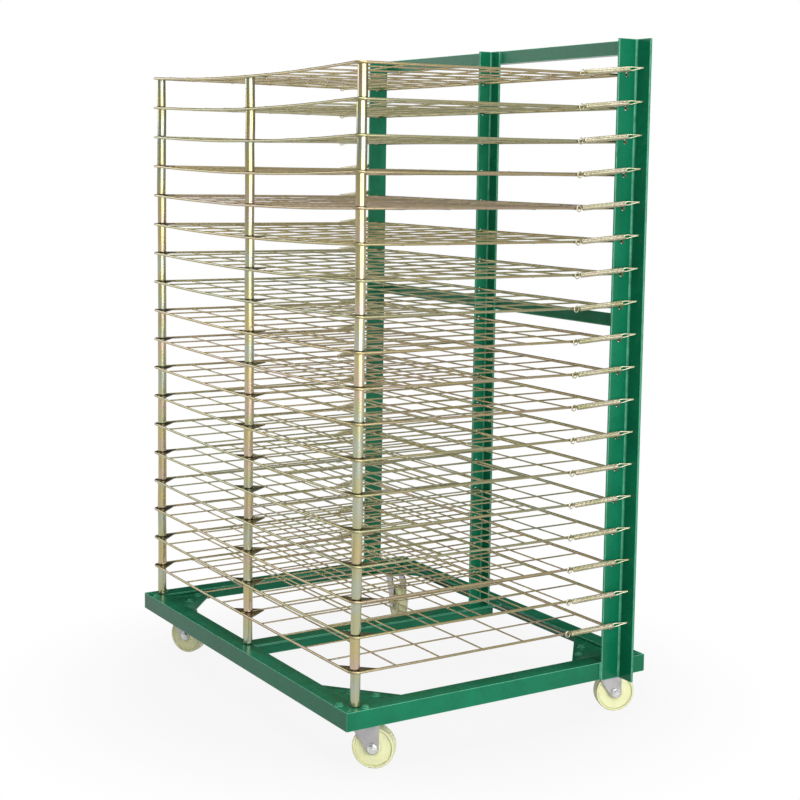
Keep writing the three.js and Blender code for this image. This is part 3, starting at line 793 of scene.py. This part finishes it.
class RACK_OT_posts(bpy.types.Operator):
    """Three drilled uprights and the two rails that tie them"""

    bl_idname = "rack.make_posts"
    bl_label = "Uprights and rails"

    def execute(self, context):
        s = sizes()
        right, left, middle = (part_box("upright_" + side) for side in ("right", "left", "middle"))
        post("upright_right", right[0].x, 1, s.beam_wall, s.root)
        post("upright_left", left[1].x, -1, s.beam_wall, s.root)
        post("upright_middle", middle[0].x, 1, s.beam_wall, s.root * 0.8)
        for node in ("top_rail", "tie_rail"):
            low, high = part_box(node)
            section = angle_section(high.y - low.y, high.z - low.z, s.rail_wall, s.root * 0.6, s.rail_heel)
            places = [(Vector((x, low.y, low.z)), Vector((0, 1, 0)), Vector((0, 0, 1)), edge_mark)
                      for x, edge_mark in ends_of(low.x, high.x)]
            part_of(carried(node + "_bar", section, places, green_finish()), "frame", "green_paint", node)
        return {"FINISHED"}


class RACK_OT_corner_plates(bpy.types.Operator):
    """Corner plates with the casters' top plates, ball races and kingpins"""

    bl_idname = "rack.make_corner_plates"
    bl_label = "Corner plates"

    def execute(self, context):
        for corner, (x, y) in CORNERS.items():
            pivot = PIVOTS["swivel_" + corner]
            node = "corner_plate_" + corner
            low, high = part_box(node)
            top = high.z
            outer = Vector((high.x if x > 0 else low.x, high.y if y > 0 else low.y))
            far = Vector((low.x if x > 0 else high.x, low.y if y > 0 else high.y))
            outline = ((outer.x, outer.y), (far.x, outer.y), (far.x, outer.y - y * PLATE_LAND),
                       (outer.x - x * PLATE_LAND, far.y), (outer.x, far.y))
            gusset = prism(node + "_gusset", outline, top - 0.004, top, green_finish(), 0.0008)
            pad = [(pivot.x + sx * PAD_HALF, pivot.y + sy * PAD_HALF)
                   for sx, sy in ((-1, -1), (1, -1), (1, 1), (-1, 1))]
            plate = prism(node + "_pad", pad, top - 0.0072, top - 0.0042, fork_finish(), 0.0009)
            axis = Matrix.Translation((pivot.x, pivot.y, 0))
            race_low = pivot.z + 0.0004
            race = lathe(node + "_race", (
                (0.006, top - 0.0074, 0.0), (0.0235, top - 0.0074, 0.5), (0.0245, top - 0.0085, 1.0),
                (0.0225, race_low + 0.0012, 1.0), (0.021, race_low, 0.6), (0.006, race_low, 0.0),
            ), axis, fork_finish())
            pin = lathe(node + "_kingpin", (
                (0.0008, top - 0.008, 0.0), (0.0055, top - 0.008, 0.0), (0.0055, pivot.z - 0.003, 0.2),
                (0.0095, pivot.z - 0.0031, 0.4), (0.0095, pivot.z - 0.0052, 0.8),
                (0.0075, pivot.z - 0.006, 0.8), (0.0008, pivot.z - 0.006, 0.0),
            ), axis, fork_finish(), segments=32)
            piece = merged(node + "_mount", [gusset, plate, race, pin])
            part_of(piece, "frame", "green_paint", node)
        return {"FINISHED"}


class RACK_OT_fastenings(bpy.types.Operator):
    """Bolts through the corner plates, and weld beads where the frame's members meet"""

    bl_idname = "rack.make_fastenings"
    bl_label = "Bolts and welds"

    def execute(self, context):
        heads = []
        top = BASE_HIGH.z
        for corner, (x, y) in CORNERS.items():
            pivot = PIVOTS["swivel_" + corner]
            gusset_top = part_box("corner_plate_" + corner)[1].z
            for number, (along, across) in enumerate(((1, 1), (1, -1), (-1, 1), (-1, -1))):
                outward = (along * BOLT_SPAN + across * BOLT_SPREAD) * math.sqrt(0.5)
                sideward = (along * BOLT_SPAN - across * BOLT_SPREAD) * math.sqrt(0.5)
                spot = Vector((pivot.x + x * outward, pivot.y + y * sideward))
                edge = min(BASE_HIGH.x - abs(spot.x), BASE_HIGH.y - abs(spot.y))
                seat = top if edge < sizes().beam_top else gusset_top
                turn = Matrix.Translation((*spot, seat)) @ Matrix.Rotation(0.4 + number, 4, "Z")
                # Washer rims and bolt heads, marked 0.7, take the pale edge colour as a painted highlight.
                heads.append(lathe("washer", (
                    (0.001, 0.0001, 0), (0.0074, 0.0001, 1), (0.0076, 0.0006, 1), (0.0072, 0.0013, 1),
                    (0.001, 0.0013, 0),
                ), turn, green_finish(), segments=24))
                head = hex_solid("head", 0.0060, 0.0012, 0.0046, turn, green_finish())
                heads.append(marked(head, edge=0.7))
        part_of(merged("corner_bolts", heads), "frame", "green_paint")
        # The weld beads' mark of 0.72 gives them the pale edge colour: a painted highlight.
        beads = marked(wires("weld_beads", self.beads(), 8, green_finish(), 0.0012, 3.0), edge=0.72)
        part_of(beads, "frame", "green_paint")
        return {"FINISHED"}

    def beads(self):
        """Paths of the weld beads, each thin at its ends."""
        found = []

        def bead(start, end, radius):
            start, end = Vector(start), Vector(end)
            count = max(5, int((end - start).length / 0.0022))
            line = [start.lerp(end, i / count) for i in range(count + 1)]
            ripple = [1.0 if i % 2 else 0.82 for i in range(count + 1)]
            ripple[0] = ripple[count] = 0.45
            thick = [radius * share for share in ripple]
            found.append((line, thick, False))

        low_z, top = BASE_LOW.z, BASE_HIGH.z
        for side in (1, -1):
            low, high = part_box("upright_right" if side > 0 else "upright_left")
            face = BASE_HIGH.x if side > 0 else BASE_LOW.x
            for y in (low.y - 0.001, high.y + 0.001):
                bead((face + side * 0.001, y, low_z + 0.002), (face + side * 0.001, y, top + 0.002), 0.0031)
            bead((face, low.y + 0.002, top), (face, high.y - 0.002, top), 0.0022)
            for rail in ("top_rail", "tie_rail"):
                rail_low, rail_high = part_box(rail)
                bead((face, rail_low.y, rail_low.z + 0.002), (face, rail_low.y, rail_high.z - 0.001), 0.0014)
                bead((face, rail_low.y + 0.002, rail_low.z), (face, high.y, rail_low.z), 0.0013)
        low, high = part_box("upright_middle")
        bead((low.x, low.y, low.z), (low.x, high.y, low.z), 0.0018)
        bead((low.x, high.y, low.z), (high.x, high.y, low.z), 0.0018)
        bead((low.x + 0.004, low.y, low.z), (low.x + 0.004, high.y - 0.004, low.z), 0.0016)
        for rail in ("top_rail", "tie_rail"):
            rail_low, rail_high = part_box(rail)
            for x in (low.x, high.x):
                bead((x, high.y, rail_low.z + 0.002), (x, high.y, rail_high.z - 0.001), 0.0014)
        beam_low, beam_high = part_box("base_middle_beam")
        for y in (beam_low.y, beam_high.y):
            bead((beam_low.x + 0.001, y, top), (beam_high.x - 0.001, y, top), 0.0012)
        leg = sizes().beam_top
        for x, y in CORNERS.values():
            spot = Vector((x * BASE_HIGH.x, y * BASE_HIGH.y, top))
            bead(spot + Vector((-x, -y, 0)) * 0.0012, spot + Vector((-x, -y, 0)) * (leg - 0.001), 0.0009)
            foot = spot + Vector((-x * 0.0004, -y * 0.0004, low_z - top + 0.001))
            bead(spot + Vector((-x, -y, -1)) * 0.0004, foot, 0.0009)
        return found


# Casters

def caster_frame(corner):
    """Frame of a caster: origin on the floor under the swivel, x to the wheel, y along the axle."""
    pivot, axle = PIVOTS["swivel_" + corner], PIVOTS["roll_" + corner]
    ahead = Vector((axle.x - pivot.x, axle.y - pivot.y, 0))
    turn = Matrix.Rotation(math.atan2(ahead.y, ahead.x), 4, "Z")
    return Matrix.Translation((pivot.x, pivot.y, 0)) @ turn, ahead.length, axle.z, pivot.z


def fork_sheet(place, trail, axle_z, crown_z):
    """The pressed fork: one sheet folded over the wheel, its nose round and its trailing edge upright."""
    nose, middle, fold, half_wall = 0.011, 0.01485, 0.006, 0.00125
    top = crown_z - half_wall
    shoulder_z, shoulder_x = crown_z - 0.010, -0.019

    def span_at(z):
        drop = max(-nose, min(nose, z - axle_z))
        round_half = math.sqrt(max(0.0, nose * nose - drop * drop))
        right = trail + (round_half if z < axle_z else nose)
        right -= max(0.0, z - (crown_z - 0.016)) * 1.1
        share = (z - (axle_z - nose * 0.45)) / (shoulder_z - (axle_z - nose * 0.45))
        left = trail - round_half
        if share > 0:
            left = trail - nose * 0.9 + (shoulder_x - trail + nose * 0.9) * min(1, share)
        return min(left, right - 0.0004), right

    path = []
    low = axle_z - nose
    for i in range(9):
        path.append((middle, low + (axle_z - low) * math.sin(i / 8 * math.pi / 2)))
    path += [(middle, axle_z + (top - fold - axle_z) * i / 7) for i in range(1, 8)]
    path += [(middle - fold + fold * math.cos(angle), top - fold + fold * math.sin(angle))
             for angle in (i / 5 * math.pi / 2 for i in range(1, 6))]
    path += [(0.0045, top), (0.0, top)]
    path += [(-y, z) for y, z in reversed(path[:-1])]
    build = bmesh.new()
    rows = []
    across = 11
    for y, z in path:
        left, right = span_at(z)
        if abs(y) < middle - 1e-6 and z > top - fold:
            share = min(1, 2 * (1 - abs(y) / middle))
            left += (-0.0225 - left) * share
            right += (0.0225 - right) * share
        rows.append([build.verts.new(place @ Vector((left + (right - left) * i / (across - 1), y, z)))
                     for i in range(across)])
    for first, second in zip(rows, rows[1:]):
        for i in range(across - 1):
            build.faces.new((first[i], first[i + 1], second[i + 1], second[i]))
    thing = settled(build, "fork_sheet", fork_finish())
    wall = thing.modifiers.new("wall", "SOLIDIFY")
    wall.thickness = half_wall * 2
    wall.offset = 0
    rounding = thing.modifiers.new("rounding", "BEVEL")
    rounding.width = 0.0006
    rounding.segments = 2
    rounding.angle_limit = math.radians(50)
    return baked(thing, 40.0)


class RACK_OT_forks(bpy.types.Operator):
    """Pressed caster forks with their axles, washers and nuts"""

    bl_idname = "rack.make_forks"
    bl_label = "Caster forks"

    def execute(self, context):
        for corner in CORNERS:
            place, trail, axle_z, crown_z = caster_frame(corner)
            parts = [fork_sheet(place, trail, axle_z, crown_z)]
            parts.append(lathe("lower_race", (
                (0.0075, crown_z - 0.0002, 0.0), (0.0225, crown_z - 0.0002, 0.6),
                (0.024, crown_z - 0.0012, 1.0), (0.0238, crown_z - 0.0042, 0.8),
                (0.0220, crown_z - 0.0050, 0.5), (0.0075, crown_z - 0.0030, 0.0),
            ), place, fork_finish()))
            axle = place @ Matrix.Translation((trail, 0, axle_z)) @ Matrix.Rotation(-math.pi / 2, 4, "X")
            parts.append(lathe("axle", (
                (0.0005, -AXLE_END, 0.2), (0.0034, -AXLE_END, 0.6), (0.0040, -AXLE_END + 0.0006, 0.6),
                (0.0040, AXLE_END - 0.0006, 0.6), (0.0034, AXLE_END, 0.6), (0.0005, AXLE_END, 0.2),
            ), axle, nut_finish(), segments=20))
            for side in (1, -1):
                face = axle if side > 0 else axle @ Matrix.Rotation(math.pi, 4, "X")
                parts.append(lathe("washer", (
                    (0.0042, 0.0162, 0.2), (0.0092, 0.0162, 0.6), (0.0094, 0.0167, 0.8),
                    (0.0090, 0.0174, 0.6), (0.0042, 0.0174, 0.2),
                ), face, nut_finish(), segments=28))
                turn = face @ Matrix.Rotation(0.35, 4, "Z")
                parts.append(hex_solid("nut", 0.0078, 0.0174, 0.0222, turn, nut_finish()))
            piece = merged("fork_%s_pressing" % corner, parts)
            part_of(piece, "fork_" + corner, "pressed_steel", "caster_fork_" + corner)
        return {"FINISHED"}


class RACK_OT_wheels(bpy.types.Operator):
    """Moulded wheels with a hub, a ringed web and a rounded tread"""

    bl_idname = "rack.make_wheels"
    bl_label = "Caster wheels"

    def execute(self, context):
        # The third value of each point darkens the nylon: hub step, groove ring, tread edges and parting
        # line; the tread-edge line is painted shade.
        half = (
            (0.0050, 0.0128, 0.25), (0.0112, 0.0130, 0.1), (0.0120, 0.0124, 0.2), (0.0128, 0.0106, 0.35),
            (0.0142, 0.0100, 0.2), (0.0185, 0.0097, 0.0), (0.0260, 0.0097, 0.0), (0.0308, 0.0100, 0.05),
            (0.0316, 0.0101, 0.12), (0.0320, 0.0094, 0.40), (0.0325, 0.0094, 0.40), (0.0329, 0.0110, 0.12),
            (0.0336, 0.0117, 0.05), (0.0352, 0.0119, 0.05), (0.0364, 0.0114, 0.20), (0.0371, 0.0103, 0.60),
            (0.0374, 0.0085, 0.15), (0.0375, 0.0050, 0.05), (0.0375, 0.0012, 0.05), (0.0373, 0.0005, 0.2),
        )
        profile = list(half) + [(radius, -width, darkening) for radius, width, darkening in reversed(half)]
        for corner in CORNERS:
            place, trail, axle_z, _ = caster_frame(corner)
            axle = place @ Matrix.Translation((trail, 0, axle_z)) @ Matrix.Rotation(-math.pi / 2, 4, "X")
            piece = lathe("wheel_%s_moulding" % corner, profile, axle, shared(cream_nylon), segments=72,
                          layer="darkening")
            part_of(piece, "wheel_" + corner, "cream_nylon", "caster_wheel_" + corner)
        return {"FINISHED"}


# Trays and springs

def cross_rows():
    """How far in front of the hinge each cross wire of a tray lies."""
    s = sizes()
    step = (s.reach + s.bend - s.first_row) / (s.cells_deep - 1)
    return [s.first_row + step * row for row in range(s.cells_deep - 1)]


def tray_lines(level):
    """Frame wire, hinge rod and mesh wires of one tray."""
    s = sizes()
    half, depth = s.column_x + s.bend, s.reach + s.bend

    def at(x, y, z=0.0):
        return Vector((x, HINGE_Y + y, level + z))

    def mirror(run):
        return [Vector((-point.x, point.y, point.z)) for point in reversed(run)]

    side = [at(half, -s.reach * i / 9) for i in range(9)]
    arc = [at(s.column_x + s.bend * math.cos(a), -s.reach - s.bend * math.sin(a))
           for a in (i / 8 * math.pi / 2 for i in range(9))]
    front = [at(s.column_x - 2 * s.column_x * i / 14, -depth) for i in range(1, 14)]
    lines = [(side + arc + front + mirror(arc) + mirror(side), s.frame_wire, False)]
    lines.append(([at(-s.rod_end + 2 * s.rod_end * i / 14, 0) for i in range(15)], s.rod, False))
    lift = s.mesh_wire
    for column in range(1, s.cells_across):
        x = -half + column * 2 * half / s.cells_across
        lines.append(([at(x, -depth * i / 11, lift) for i in range(12)], s.mesh_wire, False))
    for row, y in enumerate(cross_rows()):
        reach = half + (0.0 if row else 0.0062)
        lines.append(([at(-reach + 2 * reach * i / 15, -y, -lift) for i in range(16)], s.mesh_wire, False))
    return lines


def tray_welds(level):
    """Where one tray's wires are welded to each other, to the frame wire, the rod and the tubes."""
    s = sizes()
    half, depth = s.column_x + s.bend, s.reach + s.bend
    columns = [-half + i * 2 * half / s.cells_across for i in range(1, s.cells_across)]
    rows = [-y for y in cross_rows()]
    spots = [(x, HINGE_Y + y, level) for x in columns for y in rows]
    spots += [(x, HINGE_Y + y, level + 0.0016) for x in columns for y in (-0.0028, -depth + 0.0026)]
    spots += [(x, HINGE_Y + y, level - 0.0014) for x in (-half + 0.0024, half - 0.0024) for y in rows]
    spots += [(x, HINGE_Y - 0.0036, level) for x in (-half, half)]
    return spots


def hang(index, x, y):
    """How far a tray hangs down at a place: not at the hinge, most in the middle of its front edge."""
    s = sizes()
    share = index / (len(LEVELS) - 1)
    middle = s.sag + s.sag_more * ((share - 0.27) / 0.73) ** 2
    right = 0.004 * (2.0 * share - 1.0) ** 2 - 0.002
    left = 0.005 * (1.0 - share) ** 6 - 0.0018
    across = max(-1.0, min(1.0, x / s.column_x))
    curve = middle + (right - left) / 2 * across + ((right + left) / 2 - middle) * across ** 2
    return curve * (HINGE_Y - y) / s.reach


def bent_down(thing, index):
    """Lets a tray's flat wirework hang as the tray does."""
    for vertex in thing.data.vertices:
        vertex.co.z -= hang(index, vertex.co.x, vertex.co.y)
    return thing


def spacer(name, x, low, high, seed):
    """One spacer tube with chamfered ends, darker at the rims, with its own tint, a little out of line."""
    s = sizes()
    dice = random.Random(seed)
    build = bmesh.new()
    edge = build.verts.layers.float.new("edge")
    rise = build.verts.layers.float.new("rise")
    tint = build.verts.layers.float.new("tint")
    shade = dice.random()
    y = HINGE_Y - s.reach
    profile = [(s.bore, low, 1.0), (s.tube - 0.0006, low, 1.0), (s.tube, low + 0.0008, 1.0),
               (s.tube, low + 0.0030, 0.0)]
    profile += [(s.tube, low + (high - low) * i / 6, 0.0) for i in range(1, 6)]
    profile += [(s.tube, high - 0.0030, 0.0), (s.tube, high - 0.0005, 1.0), (s.bore, high - 0.0003, 1.0)]
    lean = Vector((dice.uniform(-1, 1), dice.uniform(-1, 1), 0)) * 0.0007
    shift = Vector((dice.uniform(-1, 1), dice.uniform(-1, 1), 0)) * 0.0010
    rings = []
    for radius, z, edge_mark in profile:
        share = (z - low) / (high - low)
        centre = Vector((x, y, z)) + shift + lean * (0.5 - share)
        ring = []
        for i in range(TUBE_SIDES):
            vertex = build.verts.new(centre + around(radius, i / TUBE_SIDES, 0))
            vertex[edge], vertex[rise], vertex[tint] = edge_mark, share, shade
            ring.append(vertex)
        rings.append(ring)
    for first, second in zip(rings, rings[1:] + rings[:1]):
        for i in range(TUBE_SIDES):
            j = (i + 1) % TUBE_SIDES
            build.faces.new((first[i], first[j], second[j], second[i]))
    return settled(build, name, tube_finish(), 35.0)


def tie_plates(level):
    """The three triangular plates that tie a tray's tubes to its frame wire."""
    s = sizes()
    half, depth = s.column_x + s.bend, s.reach + s.bend
    low, high = level - 0.0007, level + 0.0017
    found = []
    for side in (1, -1):
        outline = ((side * (half - 0.052), HINGE_Y - depth), (side * (s.column_x + 0.001), HINGE_Y - depth),
                   (side * (half - 0.003), HINGE_Y - s.reach - 0.011),
                   (side * half, HINGE_Y - s.reach - 0.001), (side * half, HINGE_Y - depth + 0.052))
        found.append(prism("tie_plate", outline, low, high, wire_finish(), 0.0005))
    outline = ((-0.038, HINGE_Y - depth), (0.038, HINGE_Y - depth), (0.004, HINGE_Y - depth + 0.047),
               (-0.004, HINGE_Y - depth + 0.047))
    found.append(prism("tie_plate", outline, low, high, wire_finish(), 0.0005))
    return found


class RACK_OT_trays(bpy.types.Operator):
    """Eighteen welded wire trays with their tie plates and spacer tubes"""

    bl_idname = "rack.make_trays"
    bl_label = "Wire trays"

    def execute(self, context):
        s = sizes()
        column_y = HINGE_Y - s.reach
        seats = {x: BASE_HIGH.z for x in (-s.column_x, 0.0, s.column_x)}
        for index, (number, level) in enumerate(zip(NUMBERS, LEVELS)):
            dice = random.Random(100 + index)
            tint = dice.uniform(-0.42, -0.02)
            mesh = wires("tray_wires", tray_lines(level), 8, wire_finish(), 0.0024, 0.7 * index)
            welds = nuggets("tray_welds", tray_welds(level), 0.0021, index, wire_finish())
            flat = [marked(mesh, tint=tint), marked(welds, tint=tint, edge=0.3)]
            # The tie plates' mark of 0.62 darkens each whole plate: painted shade.
            flat += [marked(plate, tint=dice.random(), edge=0.62) for plate in tie_plates(level)]
            parts = [bent_down(merged("tray_flat", flat), index)]
            for place, (x, seat) in enumerate(seats.items()):
                ring = level - hang(index, x, column_y)
                parts.append(spacer("tube", x, seat + 0.0005, ring - 0.0004, 10 * index + place))
                seats[x] = ring + 0.0017
            piece = merged("tray_%s_wirework" % number, parts)
            part_of(piece, "tray_" + number, "zinc_wire", "tray_" + number)
        return {"FINISHED"}


def spring_side(side, level):
    """One tension spring: an eye on the tray's peg, a close coil and a long loop through the upright."""
    s = sizes()
    leg_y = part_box("upright_right")[1].y - s.beam_wall
    peg = Vector((side * (s.column_x + s.bend + 0.0046), HINGE_Y - s.first_row, level - s.mesh_wire))
    eye_at = peg + Vector((0, 0.0026, 0.0012))
    hole = Vector((side * SPRING_HOLE_X, leg_y, level + 0.0122))
    start = Vector((side * SPRING_START_X, eye_at.y + 0.0052, level + 0.0008))
    loop_end = hole + Vector((0, 0.0062, 0))
    axis = (hole - start).normalized()
    finish = start + axis * ((hole - start).length - SPRING_LOOP)
    upward = (Vector((0, 0, 1)) - axis * axis.z).normalized()
    eye = [eye_at + Vector((side * 0.0012 * math.sin(a * 0.5), s.eye * math.cos(a), s.eye * math.sin(a)))
           for a in (i / 18 * 2 * math.pi for i in range(19))]
    eye.append(start + upward * s.coil * 0.2)
    shape = ((-0.0005, 1.8), (0.002, 2.8), (0.005, 3.1), (0.009, 2.6), (0.014, 1.7), (0.021, 0.9))
    loop = [finish + axis * along + upward * high * MILLIMETRE for along, high in shape]
    loop += [loop_end + Vector((0, -0.004, 0.0006)), loop_end + Vector((0, -0.0005, 0.0002)),
             loop_end + Vector((0, 0.0010, -0.0022)), loop_end + Vector((0, 0.0008, -0.0060))]
    lower = [finish + axis * along - upward * high * MILLIMETRE for along, high in shape]
    lower.append(hole + Vector((0, -0.001, -0.0008)))
    tree = kept_tree(spring_tree, "Tension spring")
    seat = lines_mesh("spring_%d" % side, [(eye, 1.0, False), (loop, 1.0, False), (lower, 1.0, False)])
    return grown_with(seat, tree, Start=start, End=finish, Turns=float(s.turns), Coil_Radius=s.coil,
                      Wire_Radius=s.spring_wire, Sides=6, Material=shared(spring_steel))


class RACK_OT_springs(bpy.types.Operator):
    """A pair of tension springs for each tray"""

    bl_idname = "rack.make_springs"
    bl_label = "Tension springs"

    def execute(self, context):
        for number, level in zip(NUMBERS, LEVELS):
            piece = merged("spring_pair_" + number, [spring_side(1, level), spring_side(-1, level)])
            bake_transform(piece)
            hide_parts("spring_right_" + number)
        return {"FINISHED"}


# Stage

def watching(tree, path):
    """1 for rays from the camera and for those that metal or glass sends on, else 0."""
    seen = sums(tree, "MAXIMUM", path.outputs["Is Camera Ray"], path.outputs["Is Glossy Ray"])
    return sums(tree, "MAXIMUM", seen, path.outputs["Is Transmission Ray"])


class RACK_OT_stage(bpy.types.Operator):
    """Pale floor, soft studio light and the camera"""

    bl_idname = "rack.make_stage"
    bl_label = "Stage"

    def execute(self, context):
        scene = context.scene
        scene.view_settings.view_transform = "Standard"
        self.floor()
        self.world(scene)
        self.lamp("key_light", (4.3, 0.1, 1.3), (0.2, 0.0, 0.75), (1.0, 2.4), 28)
        self.lamp("side_light", (4.6, -0.8, 1.3), (0.2, -0.8, 0.75), (6.2, 2.4), 165)
        self.lamp("fill_light", (-3.3, -2.1, 1.9), (0.0, 0.0, 0.9), (3.6, 1.4), 42)
        self.lamp("top_light", (0.6, -0.3, 4.2), (0.0, 0.0, 0.6), (2.4, 2.4), 108)
        self.camera(scene)
        return {"FINISHED"}

    def floor(self):
        mesh = bpy.data.meshes.new("floor")
        mesh.from_pydata([(-30, -30, 0), (30, -30, 0), (30, 30, 0), (-30, 30, 0)], [], [(0, 1, 2, 3)])
        material, tree, surface, coords = finish_of("pale_floor")
        plain = colours().floor
        tone = ramp(tree, noise(tree, coords, 0.8, 2.0), ((0.3, tuned(plain, 0.985)), (0.7, plain)))
        tree.links.new(tone, surface.inputs["Base Color"])
        surface.inputs["Roughness"].default_value = 0.7
        surface.inputs["Specular IOR Level"].default_value = 0.1
        out = next(n for n in tree.nodes if n.type == "OUTPUT_MATERIAL")
        glow = tree.nodes.new("ShaderNodeEmission")
        blend = tree.nodes.new("ShaderNodeMixShader")
        far = tree.nodes.new("ShaderNodeVectorMath")
        far.operation = "LENGTH"
        tree.links.new(coords, far.inputs[0])
        white_share = band(tree, far.outputs["Value"], 0.40, 0.85, 0.90, 1.0)
        path = tree.nodes.new("ShaderNodeLightPath")
        tree.links.new(sums(tree, "MULTIPLY", watching(tree, path), white_share), blend.inputs[0])
        tree.links.new(surface.outputs[0], blend.inputs[1])
        tree.links.new(glow.outputs[0], blend.inputs[2])
        tree.links.new(blend.outputs[0], out.inputs[0])
        thing_from("floor", mesh, material)

    def world(self, scene):
        world = bpy.data.worlds.new("studio")
        scene.world = world
        world.use_nodes = True
        tree = world.node_tree
        tree.nodes.clear()
        out = tree.nodes.new("ShaderNodeOutputWorld")
        room, seen = tree.nodes.new("ShaderNodeBackground"), tree.nodes.new("ShaderNodeBackground")
        room.inputs[0].default_value = (0.96, 0.98, 1.0, 1)
        room.inputs[1].default_value = 0.24
        seen.inputs[0].default_value = (1, 1, 1, 1)
        path = tree.nodes.new("ShaderNodeLightPath")
        aim = tree.nodes.new("ShaderNodeSeparateXYZ")
        tree.links.new(tree.nodes.new("ShaderNodeTexCoord").outputs["Object"], aim.inputs[0])
        bright_side = band(tree, aim.outputs["X"], 0.35, 0.70, 0.0, 0.50)
        bright_above = band(tree, aim.outputs["Z"], 0.35, 0.75)
        dim_back = band(tree, aim.outputs["Y"], -0.30, 0.20, 0.30, 0.03)
        shine = sums(tree, "MAXIMUM", sums(tree, "MAXIMUM", bright_side, bright_above), dim_back)
        tree.links.new(sums(tree, "MAXIMUM", path.outputs["Is Camera Ray"], shine), seen.inputs[1])
        blend = tree.nodes.new("ShaderNodeMixShader")
        tree.links.new(watching(tree, path), blend.inputs[0])
        tree.links.new(room.outputs[0], blend.inputs[1])
        tree.links.new(seen.outputs[0], blend.inputs[2])
        tree.links.new(blend.outputs[0], out.inputs[0])

    def lamp(self, name, place, target, size, power):
        light = bpy.data.lights.new(name, "AREA")
        light.shape = "RECTANGLE"
        light.size, light.size_y = size
        light.energy = power
        lamp = bpy.data.objects.new(name, light)
        lamp.location = place
        lamp.rotation_euler = (Vector(target) - Vector(place)).to_track_quat("-Z", "Y").to_euler()
        lamp.visible_camera = False
        bpy.context.scene.collection.objects.link(lamp)

    def camera(self, scene):
        view = bpy.data.cameras.new("camera")
        view.sensor_width = SENSOR_WIDTH
        view.lens = SENSOR_WIDTH * FOCAL_PIXELS / PICTURE_SIZE
        view.shift_x = (PICTURE_SIZE / 2 - CENTRE_ACROSS) / PICTURE_SIZE
        view.shift_y = (CENTRE_DOWN - PICTURE_SIZE / 2) / PICTURE_SIZE
        turn, tilt, roll = (math.radians(angle) for angle in (CAMERA_TURN, CAMERA_TILT, CAMERA_ROLL))
        ahead = Vector((-math.cos(turn) * math.cos(tilt), math.sin(turn) * math.cos(tilt), -math.sin(tilt)))
        right = Vector((math.sin(turn), math.cos(turn), 0))
        down = ahead.cross(right)
        level = right * math.cos(roll) + down * math.sin(roll)
        down = down * math.cos(roll) - right * math.sin(roll)
        camera = bpy.data.objects.new("camera", view)
        facing = Matrix((level, -down, -ahead)).transposed().to_4x4()
        camera.matrix_world = Matrix.Translation(CAMERA_PLACE) @ facing
        bpy.context.scene.collection.objects.link(camera)
        scene.camera = camera


class RACK_PT_panel(bpy.types.Panel):
    """Lists the rack's pieces"""

    bl_label = "Drying rack"
    bl_idname = "RACK_PT_panel"
    bl_space_type = "VIEW_3D"
    bl_region_type = "UI"
    bl_category = "Drying rack"

    def draw(self, context):
        for operator in OPERATORS:
            self.layout.operator(operator.bl_idname)


OPERATORS = (RACK_OT_base, RACK_OT_posts, RACK_OT_corner_plates, RACK_OT_fastenings, RACK_OT_forks,
             RACK_OT_wheels, RACK_OT_trays, RACK_OT_springs, RACK_OT_stage)
CLASSES = (RackSizes, RackColours, *OPERATORS, RACK_PT_panel)


def register():
    for item in CLASSES:
        bpy.utils.register_class(item)
    bpy.types.Scene.rack_sizes = PointerProperty(type=RackSizes)
    bpy.types.Scene.rack_colours = PointerProperty(type=RackColours)


def unregister():
    del bpy.types.Scene.rack_colours
    del bpy.types.Scene.rack_sizes
    for item in reversed(CLASSES):
        bpy.utils.unregister_class(item)


def main():
    register()
    for operator in OPERATORS:
        group, name = operator.bl_idname.split(".")
        getattr(getattr(bpy.ops, group), name)()


if __name__ == "__main__":
    main()
